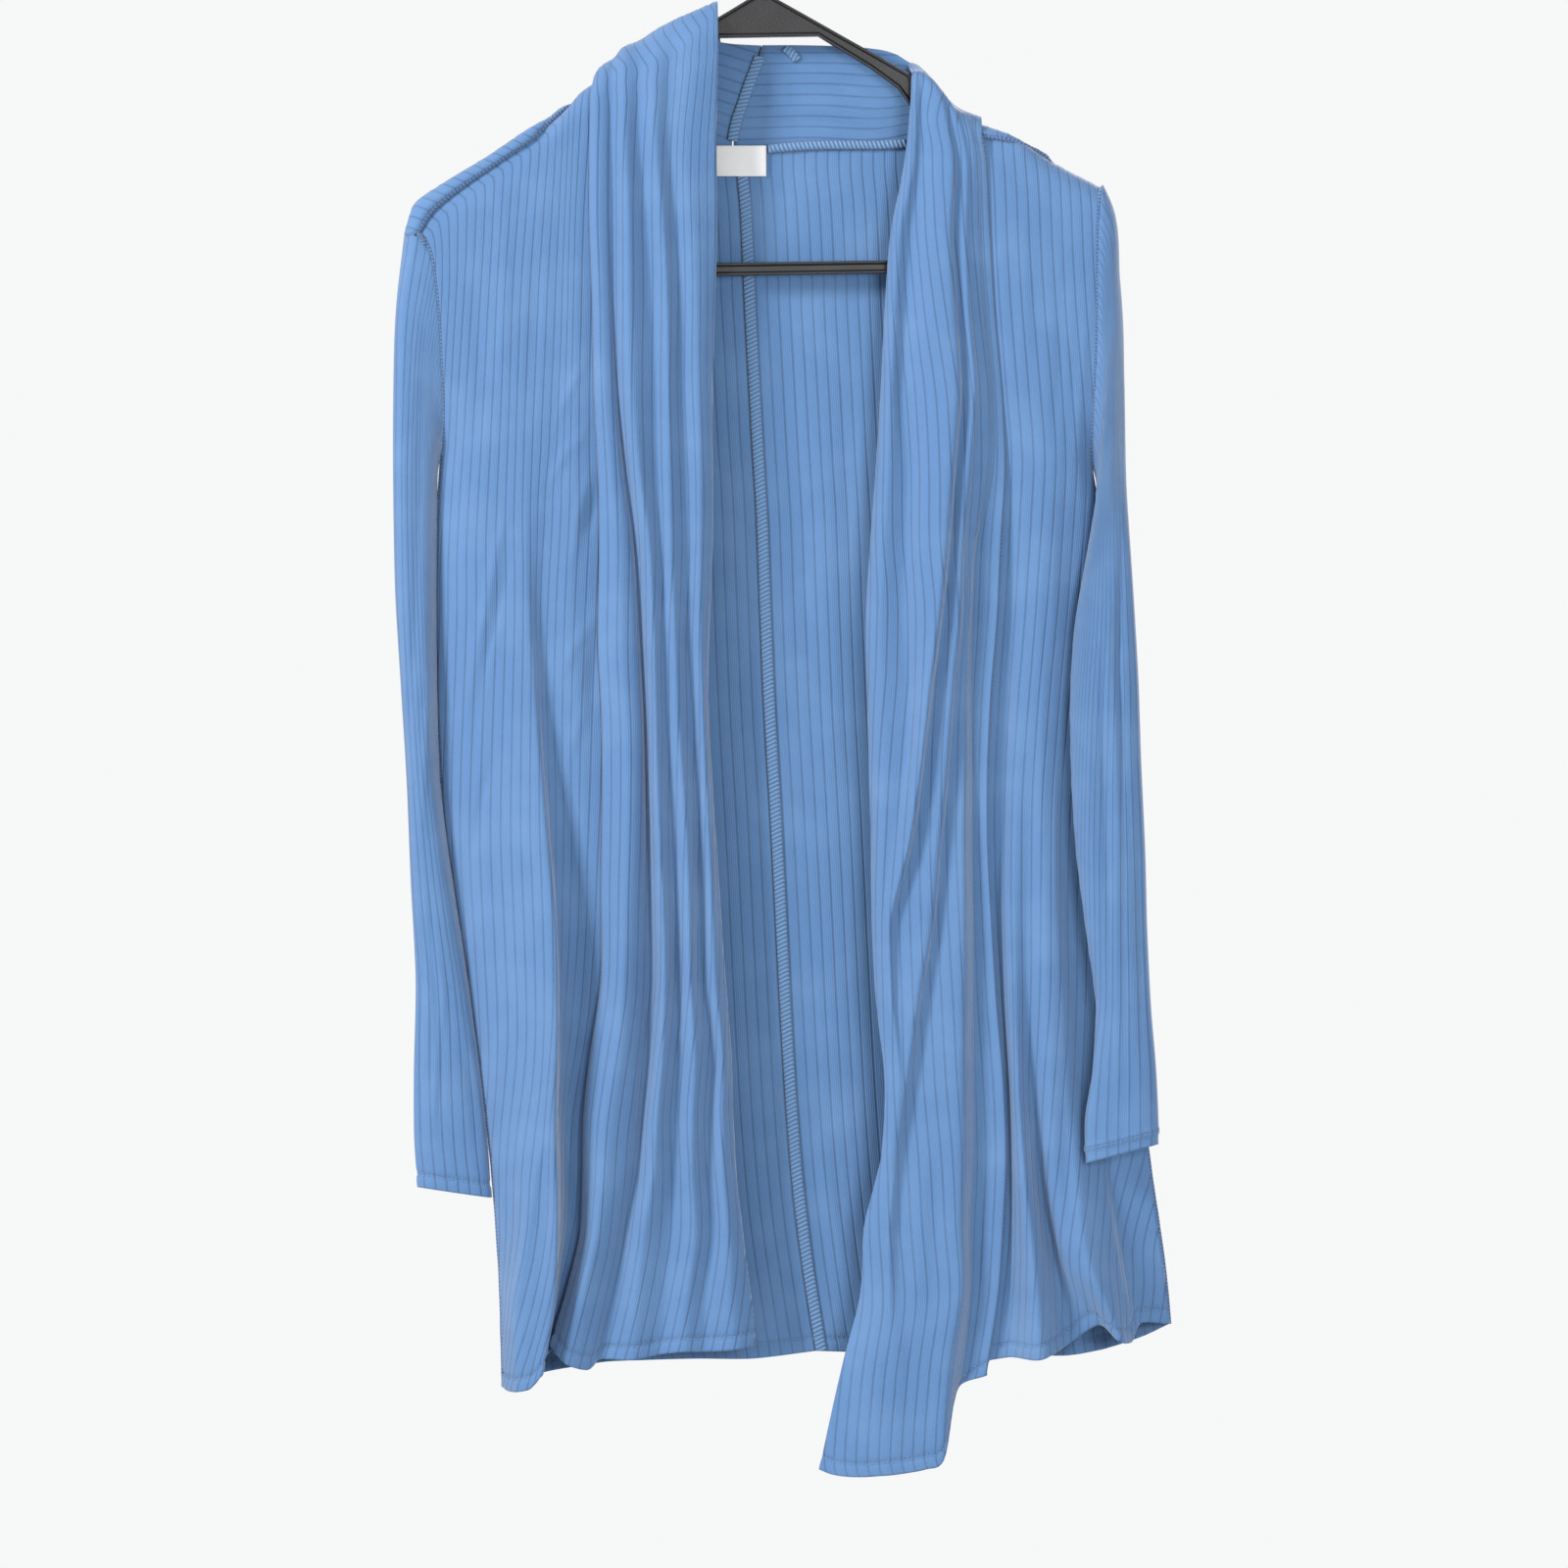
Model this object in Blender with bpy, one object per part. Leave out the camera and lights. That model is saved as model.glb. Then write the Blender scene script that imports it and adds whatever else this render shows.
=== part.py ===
"""Open-front draped cardigan in fine ribbed knit, hanging on a moulded hanger.

Frame: +Z up, +X to the viewer's right, the front of the garment faces -Y. The origin is
the point inside the hook that bears on a rail. Names with "right" and "left" are the
wearer's sides, so the right front is on the viewer's left.
"""
import math

import bmesh
import bpy
import numpy as np
from mathutils import Matrix

# Driving sizes, in metres
HANGER_SPAN = 0.4152         # across the rounded ends of the hanger
HOOK_DROP = 0.0834           # from the hook's bearing point down to row 0 of the drafting grid
CLOTH_WALL = 0.0014          # ribbed knit, one layer
LABEL_WALL = 0.0009
HANGER_HALF_THICKNESS = 0.0045
HANGER_EDGE_RADIUS = 0.0022
HOOK_ROD_RADIUS = 0.0034
HOOK_RADIUS = 0.0215         # centre line of the round part of the hook

# Drafting grid: the pieces are drafted on the grid of a front view, whose rows run down
# and whose columns run to the right. The span of the hanger gives the size of a step.
SPAN_STEPS = 692
STEP = HANGER_SPAN / SPAN_STEPS
CENTRE_COLUMN = 778
MILLIMETRE = 0.001
TILT = math.radians(0.9)     # the hanger hangs a little lower at the wearer's right
EASE = 0.8                   # 1 rounds the folds fully, 0 leaves them flat between lines

CLOTH = {"colour": (0.125, 0.285, 0.68, 1.0), "roughness": 0.8, "metallic": 0.0}
LABEL = {"colour": (0.88, 0.88, 0.87, 1.0), "roughness": 0.6, "metallic": 0.0}
PLASTIC = {"colour": (0.008, 0.008, 0.009, 1.0), "roughness": 0.32, "metallic": 0.0}


def place(column, row, depth):
    """A point of the frame, from the drafting grid and a depth in millimetres."""
    x = (column - CENTRE_COLUMN) * STEP
    return (x, depth * MILLIMETRE, -HOOK_DROP - row * STEP)


def section_points(section, lines):
    """The points of one section: its row, or one row a line, its columns and depths."""
    rows, columns, depths = section
    if not isinstance(rows, tuple):
        rows = (rows,) * lines
    return [place(columns[i], rows[i], depths[i]) for i in range(lines)]


def smooth(points, steps, closed=False):
    """Cubic curves along the first axis, with steps[i] new intervals in interval i."""
    count = len(points)
    spans = count if closed else count - 1
    gaps = []
    for i in range(spans):
        step = points[(i + 1) % count] - points[i]
        gaps.append(max(float(np.mean(np.linalg.norm(step, axis=-1))), 1e-6))
    slopes = [(points[(i + 1) % count] - points[i]) / gaps[i] for i in range(spans)]
    tangents = []
    for i in range(count):
        before = i - 1 if i > 0 or closed else 0
        after = i if i < spans else spans - 1
        weight = gaps[before] + gaps[after]
        mean = (slopes[before] * gaps[after] + slopes[after] * gaps[before]) / weight
        tangents.append(mean * EASE)
    rows = []
    for i in range(spans):
        j = (i + 1) % count
        for k in range(steps[i]):
            t = k / steps[i]
            rows.append(
                (2 * t**3 - 3 * t**2 + 1) * points[i]
                + (t**3 - 2 * t**2 + t) * gaps[i] * tangents[i]
                + (3 * t**2 - 2 * t**3) * points[j]
                + (t**3 - t**2) * gaps[i] * tangents[j]
            )
    rows.append(points[0] if closed else points[-1])
    return np.array(rows)


def sheet_points(table, lines, along, across, closed):
    """Points of a cloth sheet: sections down its length, fold lines across its width."""
    drafted = np.array([section_points(section, lines) for section in table])
    down = smooth(drafted, along)
    width = smooth(np.swapaxes(down, 0, 1), across, closed)
    return np.swapaxes(width, 0, 1)


def make_material(name, finish):
    material = bpy.data.materials.new(name)
    material.use_nodes = True
    shader = material.node_tree.nodes["Principled BSDF"]
    shader.inputs["Base Color"].default_value = finish["colour"]
    shader.inputs["Roughness"].default_value = finish["roughness"]
    shader.inputs["Metallic"].default_value = finish["metallic"]
    return material


def add_object(name, mesh, finish):
    body = bpy.data.objects.new(name, mesh)
    bpy.context.collection.objects.link(body)
    body.data.materials.append(make_material(name, finish))
    return body


def add_sheet(name, table, along, across, finish=CLOTH, wall=CLOTH_WALL, closed=False):
    """A cloth wall through the sections of a table, open or closed round into a tube."""
    lines = len(table[0][1])
    points = sheet_points(table, lines, along, across, closed)
    rows, columns = points.shape[0], points.shape[1]
    mesh = bmesh.new()
    bmesh.ops.create_grid(mesh, x_segments=columns - 1, y_segments=rows - 1, size=0.5)
    for vertex in mesh.verts:
        column = round((vertex.co.x + 0.5) * (columns - 1))
        row = round((vertex.co.y + 0.5) * (rows - 1))
        vertex.co = points[row, column]
    if closed:
        bmesh.ops.remove_doubles(mesh, verts=mesh.verts, dist=1e-6)
    data = bpy.data.meshes.new(name)
    mesh.to_mesh(data)
    mesh.free()
    data.shade_smooth()
    body = add_object(name, data, finish)
    shell = body.modifiers.new("wall", "SOLIDIFY")
    shell.thickness = wall
    shell.offset = 0.0
    return body


# Each table has one section a line, from the top edge to the hem: the row (or the row of
# each fold line), then the columns and the depths in millimetres of the fold lines.

# Fold lines: side, flank, middle, rise, big fold, its return, recess, inner, band seam
FRONT_RIGHT = (
    ((238, 215, 191, 169, 149, 133, 119.5, 103, 92),
     (427, 441, 470, 502, 530, 551, 569, 591, 612),
     (-6.8, -6.6, -6.6, -6.6, -6.6, -4.6, 1.0, 7.2, 7.4)),
    ((243, 222, 198, 177, 157, 140, 123, 97, 83),
     (434, 448, 475, 503, 530, 551, 570, 591, 611),
     (-8.4, -7.7, -7.6, -7.6, -7.4, -6.4, -3.4, 0.0, 0.0)),
    ((256, 238, 216, 196, 172, 152, 130, 108, 96),
     (441, 456, 480, 504, 529, 550, 570, 590, 609),
     (-9.2, -9.4, -9.4, -9.4, -9.2, -8.8, -8.4, -7.6, -7.8)),
    ((285, 270, 252, 234, 212, 190, 166, 142, 128),
     (446, 464, 485, 506, 528, 549, 570, 589, 608),
     (-9.4, -9.8, -10.0, -10.0, -10.2, -10.4, -10.2, -10.2, -9.2)),
    ((325, 312, 300, 286, 270, 254, 236, 222, 212),
     (450, 468, 488, 508, 528, 549, 570, 588, 606),
     (-9.4, -10.2, -10.8, -11.2, -11.4, -11.8, -11.0, -11.6, -9.2)),
    ((385, 376, 366, 356, 346, 336, 326, 318, 312),
     (453, 470, 490, 511, 530, 550, 570, 588, 608),
     (-8.6, -10.0, -11.4, -12.0, -12.4, -12.4, -11.6, -12.4, -9.2)),
    ((430, 424, 418, 412, 406, 400, 396, 392, 390),
     (454, 470, 491, 513, 532, 551, 569, 588, 610),
     (-5.4, -9.0, -11.4, -12.4, -12.8, -12.6, -12.0, -13.0, -9.2)),
    (458, (452, 470, 492, 514, 534, 551, 567, 588, 613),
     (-1.4, -8.0, -11.6, -12.6, -13.4, -12.8, -12.0, -13.6, -9.2)),
    (500, (449, 469, 492, 514, 535, 549, 562, 587, 616),
     (-1.1, -8.0, -11.8, -12.8, -14.2, -13.0, -12.2, -13.6, -8.6)),
    (600, (446.5, 469, 492, 516, 537, 546, 555, 582, 617),
     (-1.1, -8.6, -12.6, -13.6, -16.0, -13.4, -11.4, -14.0, -8.4)),
    (720, (447.5, 471, 496, 520, 545, 552, 560, 586, 618),
     (-1.1, -9.0, -13.2, -16.0, -18.4, -14.0, -10.6, -13.6, -8.4)),
    (840, (454.5, 477, 502, 530, 556, 562, 577, 597, 620),
     (-1.1, -9.6, -14.0, -19.0, -22.0, -13.6, -7.2, -10.4, -9.2)),
    (940, (469.5, 490, 514, 542, 566, 569, 586, 603, 619),
     (-1.1, -9.8, -15.0, -22.6, -26.0, -13.0, -4.4, -5.8, -9.2)),
    (1040, (484, 502, 524, 549, 569, 571, 586, 601, 613),
     (-1.1, -10.2, -16.6, -25.6, -30.0, -13.0, -2.8, -4.2, -9.2)),
    (1140, (497.5, 515, 535, 556, 567, 570, 579, 590, 600),
     (-1.1, -11.0, -20.4, -27.6, -30.0, -13.0, -2.8, -4.4, -9.2)),
    (1240, (507, 523, 541, 558, 569, 572, 579, 589, 599),
     (-1.1, -13.6, -25.8, -28.4, -31.4, -14.0, -3.0, -4.6, -9.2)),
    (1330, (512, 519, 528, 548, 566, 564, 567, 573, 580),
     (-1.1, -13.6, -25.0, -28.6, -31.0, -14.2, -5.0, -5.4, -9.2)),
    ((1415, 1418, 1418, 1414, 1400, 1391, 1384, 1378, 1374),
     (514, 520, 530, 543, 554, 552, 556, 562, 569),
     (-1.1, -13.0, -24.0, -28.4, -30.4, -15.4, -8.4, -7.4, -9.2)),
)
FRONT_RIGHT_ALONG = (1, 1, 1, 1, 1, 1, 1, 1, 2, 2, 2, 2, 2, 2, 2, 2, 2)
FRONT_RIGHT_ACROSS = (1, 1, 1, 2, 2, 2, 2, 1)

# Fold lines: band seam, valley, first fold, its foot, second fold's left side, its
# crest, its right side, flank, side
FRONT_LEFT = (
    ((140, 141, 144, 149, 158, 173, 182, 190, 198),
     (1000, 1012, 1028, 1045, 1061, 1076, 1092, 1107, 1121),
     (-7.4, -7.4, -7.4, -6.8, 1.0, 7.2, 7.4, 7.4, 7.4)),
    ((147, 148, 151, 157, 160, 167, 176, 184, 192),
     (1000, 1012, 1028, 1045, 1061, 1075, 1091, 1107, 1122),
     (-8.6, -8.4, -8.4, -8.0, -3.4, 0.0, 0.0, 0.0, 0.0)),
    ((160, 162, 165, 169, 173, 179, 187, 195, 204),
     (1001, 1013, 1029, 1045, 1060, 1074, 1090, 1106, 1120),
     (-9.2, -9.2, -9.2, -9.0, -8.4, -7.6, -7.6, -7.6, -7.8)),
    ((190, 192, 194, 197, 200, 204, 210, 216, 224),
     (1003, 1015, 1030, 1046, 1060, 1074, 1090, 1105, 1119),
     (-9.2, -10.2, -10.4, -10.2, -10.0, -10.0, -9.8, -9.6, -9.4)),
    ((242, 242, 243, 244, 246, 248, 252, 256, 262),
     (1005, 1017, 1032, 1047, 1061, 1075, 1090, 1104, 1118),
     (-9.2, -11.2, -11.6, -11.4, -11.2, -11.0, -10.6, -10.2, -9.4)),
    (310, (1009, 1020, 1034, 1048, 1062, 1076, 1090, 1104, 1118),
     (-9.2, -11.6, -12.0, -12.0, -12.2, -12.0, -11.4, -10.6, -9.4)),
    (360, (1013, 1023, 1036, 1049, 1062, 1076, 1090, 1103, 1117),
     (-9.2, -11.4, -12.0, -12.4, -12.6, -12.4, -11.4, -10.2, -9.0)),
    (410, (1017, 1026, 1038, 1050, 1062, 1076, 1090, 1102, 1115),
     (-9.2, -11.0, -12.2, -12.6, -13.0, -12.6, -11.0, -9.6, -8.0)),
    (446, (1020, 1029, 1040, 1051, 1062, 1075, 1088, 1100, 1113),
     (-9.2, -10.6, -12.2, -12.8, -13.2, -12.8, -10.8, -8.8, -4.6)),
    (466, (1021, 1030, 1041, 1052, 1062, 1074, 1087, 1099, 1112),
     (-9.2, -10.4, -12.2, -12.8, -13.4, -12.8, -10.6, -8.2, -1.4)),
    (520, (1019, 1031, 1042, 1052, 1062, 1073, 1086, 1101, 1117),
     (-9.2, -9.8, -12.2, -13.0, -13.6, -13.0, -10.2, -7.0, -1.1)),
    (620, (1014, 1030, 1043, 1053, 1062, 1073, 1086, 1103, 1124),
     (-9.2, -8.4, -12.6, -13.2, -14.2, -13.4, -9.8, -5.4, -1.1)),
    (720, (1007, 1026, 1040, 1052, 1062, 1073, 1086, 1108, 1134),
     (-9.2, -7.6, -13.2, -13.8, -15.2, -14.0, -9.6, -5.0, -1.1)),
    (820, (1003, 1022, 1036, 1050, 1062, 1073, 1086, 1112, 1141),
     (-9.2, -6.6, -14.2, -14.4, -16.6, -15.2, -9.6, -5.0, -1.1)),
    (920, (1006, 1017, 1033, 1048, 1064, 1076, 1089, 1117, 1149),
     (-9.2, -5.8, -16.0, -14.8, -18.6, -17.4, -9.8, -5.0, -1.1)),
    (1020, (1013, 1021, 1034, 1048, 1067, 1082, 1096, 1123, 1157),
     (-9.2, -6.0, -18.6, -14.0, -19.6, -17.8, -10.0, -5.2, -1.1)),
    (1120, (1020, 1028, 1038, 1052, 1070, 1087, 1106, 1130, 1164),
     (-9.2, -6.4, -22.0, -12.2, -20.4, -18.8, -10.4, -5.6, -1.1)),
    (1200, (1023, 1030, 1044, 1060, 1073, 1096, 1122, 1134, 1174),
     (-9.2, -7.0, -25.0, -11.0, -20.4, -20.4, -11.4, -6.0, -1.1)),
    (1290, (1017, 1030, 1054, 1076, 1090, 1112, 1138, 1148, 1187),
     (-9.2, -8.0, -27.4, -10.4, -23.4, -29.0, -16.8, -8.4, -1.1)),
    ((1388, 1384, 1385, 1370, 1350, 1366, 1368, 1350, 1351),
     (1004, 1030, 1062, 1090, 1122, 1141, 1153, 1162, 1193),
     (-9.2, -9.4, -27.6, -10.8, -15.4, -27.6, -15.6, -9.4, -1.1)),
)
FRONT_LEFT_ALONG = (1, 1, 1, 1, 1, 1, 1, 1, 1, 1, 2, 2, 2, 2, 2, 2, 2, 2, 2)
FRONT_LEFT_ACROSS = (1, 2, 2, 2, 2, 2, 1, 1)

# Fold lines: side, tip, outer shoulder, shoulder, inner shoulder, crossing, behind the
# crossing, neck side, neck point, half neck, centre
BACK_RIGHT_TOP = (
    ((239.5, 217, 192, 168.5, 138, 116, 107.5, 106, 97, 135, 149),
     (425, 438, 468, 503, 547, 566, 577, 591, 612, 680, 751),
     (-9.4, -9.6, -9.6, -9.6, -9.2, 0.0, 5.0, 9.4, 9.8, 11.6, 12.0)),
    ((239.8, 212, 187.5, 164, 131, 116.4, 109, 109, 100, 138, 152),
     (417, 427, 458, 497, 546, 566, 577, 591, 612, 680, 751),
     (-6.5, -7.4, -7.4, -7.4, -7.4, 2.2, 6.4, 9.6, 9.9, 11.6, 12.0)),
    ((240, 210, 186, 162, 128.7, 117.6, 111.5, 112.5, 104, 142, 156),
     (413, 422, 455, 495, 545, 567, 577, 591, 612, 680, 751),
     (0.0, 0.0, 0.0, 0.0, 0.0, 4.4, 7.4, 9.5, 9.8, 11.6, 12.0)),
    ((239.8, 212, 187.5, 164.5, 132, 120.5, 115.5, 116.5, 109, 147, 161),
     (417, 427, 458, 497, 546, 567, 577, 591, 612, 680, 751),
     (6.5, 7.0, 7.0, 7.0, 7.0, 7.0, 8.6, 9.6, 9.9, 11.6, 12.0)),
    ((239.5, 222, 200, 180, 147, 134, 129, 129, 122, 158, 172),
     (425, 438, 468, 505, 549, 568, 578, 591, 612, 680, 751),
     (9.4, 9.4, 9.4, 9.4, 9.4, 9.4, 9.6, 9.7, 10.0, 11.6, 12.0)),
    ((243, 232, 214, 196, 166, 156, 152, 150, 146, 175, 188),
     (434, 446, 474, 508, 549, 568, 579, 591, 612, 680, 752),
     (9.3, 9.6, 9.8, 9.8, 9.8, 9.8, 9.9, 10.0, 10.4, 11.6, 12.0)),
    ((256, 246, 232, 216, 192, 184, 181, 180, 178, 196, 206),
     (441, 452, 478, 510, 549, 569, 580, 591, 613, 680, 754),
     (9.4, 9.8, 10.2, 10.4, 10.6, 10.6, 10.6, 10.8, 11.0, 11.6, 12.0)),
    ((285, 276, 264, 252, 232, 226, 224, 224, 222, 232, 238),
     (446, 457, 482, 512, 549, 570, 581, 592, 614, 681, 756),
     (9.4, 10.2, 10.8, 11.2, 11.4, 11.4, 11.4, 11.4, 11.4, 11.8, 12.0)),
    ((325, 318, 310, 302, 290, 286, 285, 284, 284, 288, 292),
     (450, 461, 485, 513, 549, 571, 582, 593, 616, 684, 758),
     (9.4, 10.4, 11.4, 12.0, 12.2, 12.0, 11.8, 11.8, 12.0, 12.4, 12.0)),
    ((385, 381, 377, 373, 366, 364, 363, 362, 362, 362, 362),
     (453, 465, 488, 515, 549, 572, 583, 595, 618, 688, 762),
     (8.6, 10.2, 11.8, 12.6, 12.8, 12.4, 12.2, 12.2, 12.4, 13.0, 12.2)),
    ((430, 428, 426, 424, 421, 420, 419, 419, 419, 419, 419),
     (454, 466, 489, 515, 549, 573, 584, 596, 620, 690, 765),
     (5.4, 9.0, 11.6, 13.0, 13.2, 12.6, 12.2, 12.4, 12.8, 13.4, 12.2)),
)
BACK_RIGHT_SHARES = (0.0, 0.05, 0.13, 0.22, 0.32, 0.39, 0.45, 0.52, 0.62, 0.8, 1.0)
BACK_LEFT_SHARES = (0.0, 0.07, 0.14, 0.2, 0.27, 0.34, 0.39, 0.44, 0.52, 0.68, 0.84, 1.0)

# Below the armhole the fold lines of the back keep their shares of its width. One level
# a line: its row, its side and centre columns, and the depths of the fold lines.
BACK_RIGHT_LEVELS = (
    (458, 452, 767, (1.4, 7.6, 11.4, 13.2, 13.6, 12.8, 12.4, 12.6, 13.0, 13.6, 12.4)),
    (500, 449, 770, (1.1, 7.6, 11.6, 13.4, 14.0, 13.0, 12.4, 12.8, 13.4, 14.0, 12.4)),
    (600, 446.5, 774, (1.1, 8.2, 12.4, 13.8, 15.0, 13.6, 12.4, 13.2, 14.4, 14.4, 12.4)),
    (720, 447.5, 779, (1.1, 9.0, 13.6, 14.4, 16.4, 14.4, 12.4, 13.8, 16.0, 15.0, 12.4)),
    (840, 454.5, 786, (1.1, 9.8, 15.0, 14.8, 18.2, 15.2, 12.4, 14.6, 18.0, 15.6, 12.4)),
    (940, 469.5, 791, (1.1, 10.4, 16.4, 15.0, 20.0, 15.8, 12.4, 15.6, 20.0, 16.0, 12.6)),
    (1040, 484, 796, (1.1, 11.2, 18.0, 15.2, 21.8, 16.4, 12.4, 16.6, 22.0, 16.4, 13.0)),
    (1140, 497.5, 802, (1.1, 12.0, 19.4, 15.4, 23.6, 17.0, 12.4, 17.6, 24.0, 16.8, 13.6)),
    (1240, 507, 811, (1.1, 12.8, 20.8, 15.6, 25.2, 17.6, 12.4, 18.6, 25.6, 17.2, 14.4)),
    (1330, 512, 824, (1.1, 13.4, 21.8, 15.8, 26.4, 18.0, 12.4, 19.4, 26.8, 17.6, 15.4)),
)
BACK_RIGHT_HEM = (
    (1415, 1410, 1402, 1396, 1392, 1390, 1389, 1389, 1389, 1388, 1380),
    (514, 528, 556, 586, 618, 640, 658, 680, 712, 768, 832),
    (1.1, 13.6, 22.2, 16.0, 27.0, 18.2, 12.6, 19.8, 27.2, 18.0, 16.0))

# Fold lines: centre, quarter neck, half neck, neck side, behind the ridge, ridge, neck
# point, shoulder, crossing, behind the crossing, outer shoulder, side
BACK_LEFT_TOP = (
    ((149, 147, 146.5, 139, 130.5, 123.5, 136, 141.5, 152.5, 159, 169.5, 202),
     (751.8, 815, 880, 945, 978, 990, 999, 1028, 1057, 1069, 1078, 1122),
     (12.0, 12.0, 12.0, 10.8, 9.4, 0.0, -9.6, -9.6, -1.0, 3.6, 9.2, 9.4)),
    ((152, 150, 149.5, 142, 133, 124, 130, 138.5, 153, 160.5, 173, 206),
     (751.8, 815, 880, 945, 979, 990.5, 997.5, 1028, 1058, 1069.5, 1079, 1121.5),
     (12.0, 12.0, 12.0, 10.9, 9.6, 2.0, -7.4, -7.2, 1.5, 5.2, 9.4, 9.4)),
    ((156, 154, 153.5, 146, 136.5, 125.4, 126.6, 136.8, 154.5, 162.8, 178, 211),
     (751.8, 815, 880, 945, 979.5, 991, 997, 1028, 1058, 1070, 1080, 1121),
     (12.0, 12.0, 12.0, 11.0, 9.8, 4.4, 0.0, 0.0, 4.4, 6.9, 9.5, 9.4)),
    ((161, 159, 158.5, 151, 141.5, 130, 130, 139.5, 157.5, 166.5, 184, 217),
     (751.8, 815, 880, 945, 980, 992, 998, 1028, 1059, 1071, 1081, 1120.5),
     (12.0, 12.0, 12.0, 11.1, 10.0, 8.0, 7.0, 7.0, 7.2, 8.8, 9.6, 9.4)),
    ((172, 170, 169, 162, 153, 144, 144, 152, 170, 180, 196, 226),
     (751.8, 815, 880, 945, 981, 993, 1000, 1028, 1060, 1072, 1083, 1119.5),
     (12.0, 12.0, 12.0, 11.3, 10.2, 9.8, 9.6, 9.6, 9.6, 9.8, 9.8, 9.4)),
    ((206, 204, 202, 198, 193, 190, 190, 194, 204, 212, 226, 262),
     (754.8, 815, 880, 944, 981, 993, 1001, 1028, 1060, 1073, 1086, 1118),
     (12.0, 12.2, 12.2, 11.8, 11.0, 10.8, 10.6, 10.6, 10.4, 10.2, 10.0, 9.4)),
    ((258, 256, 254, 250, 246, 244, 244, 246, 252, 260, 272, 310),
     (757.6, 815, 880, 942, 979, 992, 1001, 1028, 1060, 1074, 1088, 1118),
     (12.0, 12.4, 12.4, 12.2, 12.0, 11.8, 11.8, 11.6, 11.2, 10.8, 10.2, 9.4)),
    ((320, 318, 316, 314, 312, 312, 312, 314, 318, 324, 332, 360),
     (760.4, 816, 880, 938, 974, 989, 1000, 1027, 1059, 1073, 1088, 1117),
     (12.0, 12.8, 12.6, 12.6, 12.8, 12.8, 12.6, 12.4, 11.8, 11.2, 10.4, 9.0)),
    ((382, 380, 379, 378, 377, 377, 377, 378, 380, 384, 390, 410),
     (763.8, 818, 880, 936, 970, 986, 998, 1026, 1058, 1072, 1087, 1115),
     (12.2, 13.2, 12.8, 13.0, 13.4, 13.4, 13.2, 13.0, 12.2, 11.2, 9.8, 8.0)),
    ((430, 429, 428, 428, 428, 428, 428, 428, 429, 431, 434, 446),
     (766.4, 820, 880, 934, 967, 983, 996, 1025, 1057, 1071, 1086, 1113),
     (12.2, 13.6, 13.0, 13.2, 13.6, 13.8, 13.6, 13.2, 12.2, 11.0, 9.2, 4.6)),
)
BACK_LEFT_LEVELS = (
    (466, 1112, 768.4, (1.4, 7.6, 11.4, 13.2, 13.6, 12.8, 12.4, 12.5, 12.8, 13.0, 13.6, 12.4)),
    (520, 1117, 771.8, (1.1, 7.6, 11.6, 13.4, 14.0, 13.0, 12.4, 12.8, 13.2, 13.4, 14.0, 12.4)),
    (620, 1124, 775.6, (1.1, 8.2, 12.4, 13.8, 15.0, 13.4, 12.4, 13.2, 14.0, 14.4, 14.2, 12.4)),
    (720, 1134, 779.8, (1.1, 9.0, 13.6, 14.2, 16.4, 14.0, 12.6, 14.0, 15.2, 15.4, 14.4, 12.4)),
    (820, 1141, 785.6, (1.1, 9.8, 15.0, 14.6, 18.0, 14.6, 12.8, 15.0, 16.4, 16.6, 14.6, 12.4)),
    (920, 1149, 790.8, (1.1, 10.6, 16.4, 15.0, 19.6, 15.2, 13.0, 16.0, 17.8, 17.8, 14.8, 12.6)),
    (1020, 1157, 795.8, (1.1, 11.4, 18.0, 15.2, 21.2, 15.8, 13.2, 17.0, 19.4, 19.0, 15.0, 13.0)),
    (1120, 1164, 801.6, (1.1, 12.2, 19.6, 15.4, 22.8, 16.4, 13.4, 18.0, 21.0, 20.2, 15.4, 13.6)),
    (1200, 1174, 807.8, (1.1, 13.0, 20.8, 15.6, 24.2, 16.8, 13.6, 18.8, 22.0, 21.0, 15.8, 14.4)),
    (1290, 1187, 818.6, (1.1, 13.6, 22.0, 15.8, 25.6, 17.2, 13.8, 19.6, 23.0, 21.8, 16.2, 15.4)),
)
BACK_LEFT_HEM = (
    (1380, 1382, 1384, 1386, 1386, 1386, 1386, 1386, 1384, 1378, 1366, 1351),
    (832.8, 898, 962, 994, 1012, 1030, 1050, 1072, 1096, 1130, 1164, 1193),
    (16.0, 18.0, 22.0, 23.0, 19.0, 14.0, 17.4, 26.2, 16.0, 22.4, 14.0, 1.1))
BACK_ALONG = (1, 1, 1, 1, 1, 1, 1, 1, 1, 1, 1, 2, 2, 2, 2, 2, 2, 2, 2, 2, 2)
BACK_LEFT_ALONG = BACK_ALONG[1:]
BACK_RIGHT_ACROSS = (1, 1, 1, 1, 1, 1, 1, 1, 2, 2)
BACK_LEFT_ACROSS = (1, 1, 1, 1, 1, 2, 2, 1, 1, 1, 1)

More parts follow.
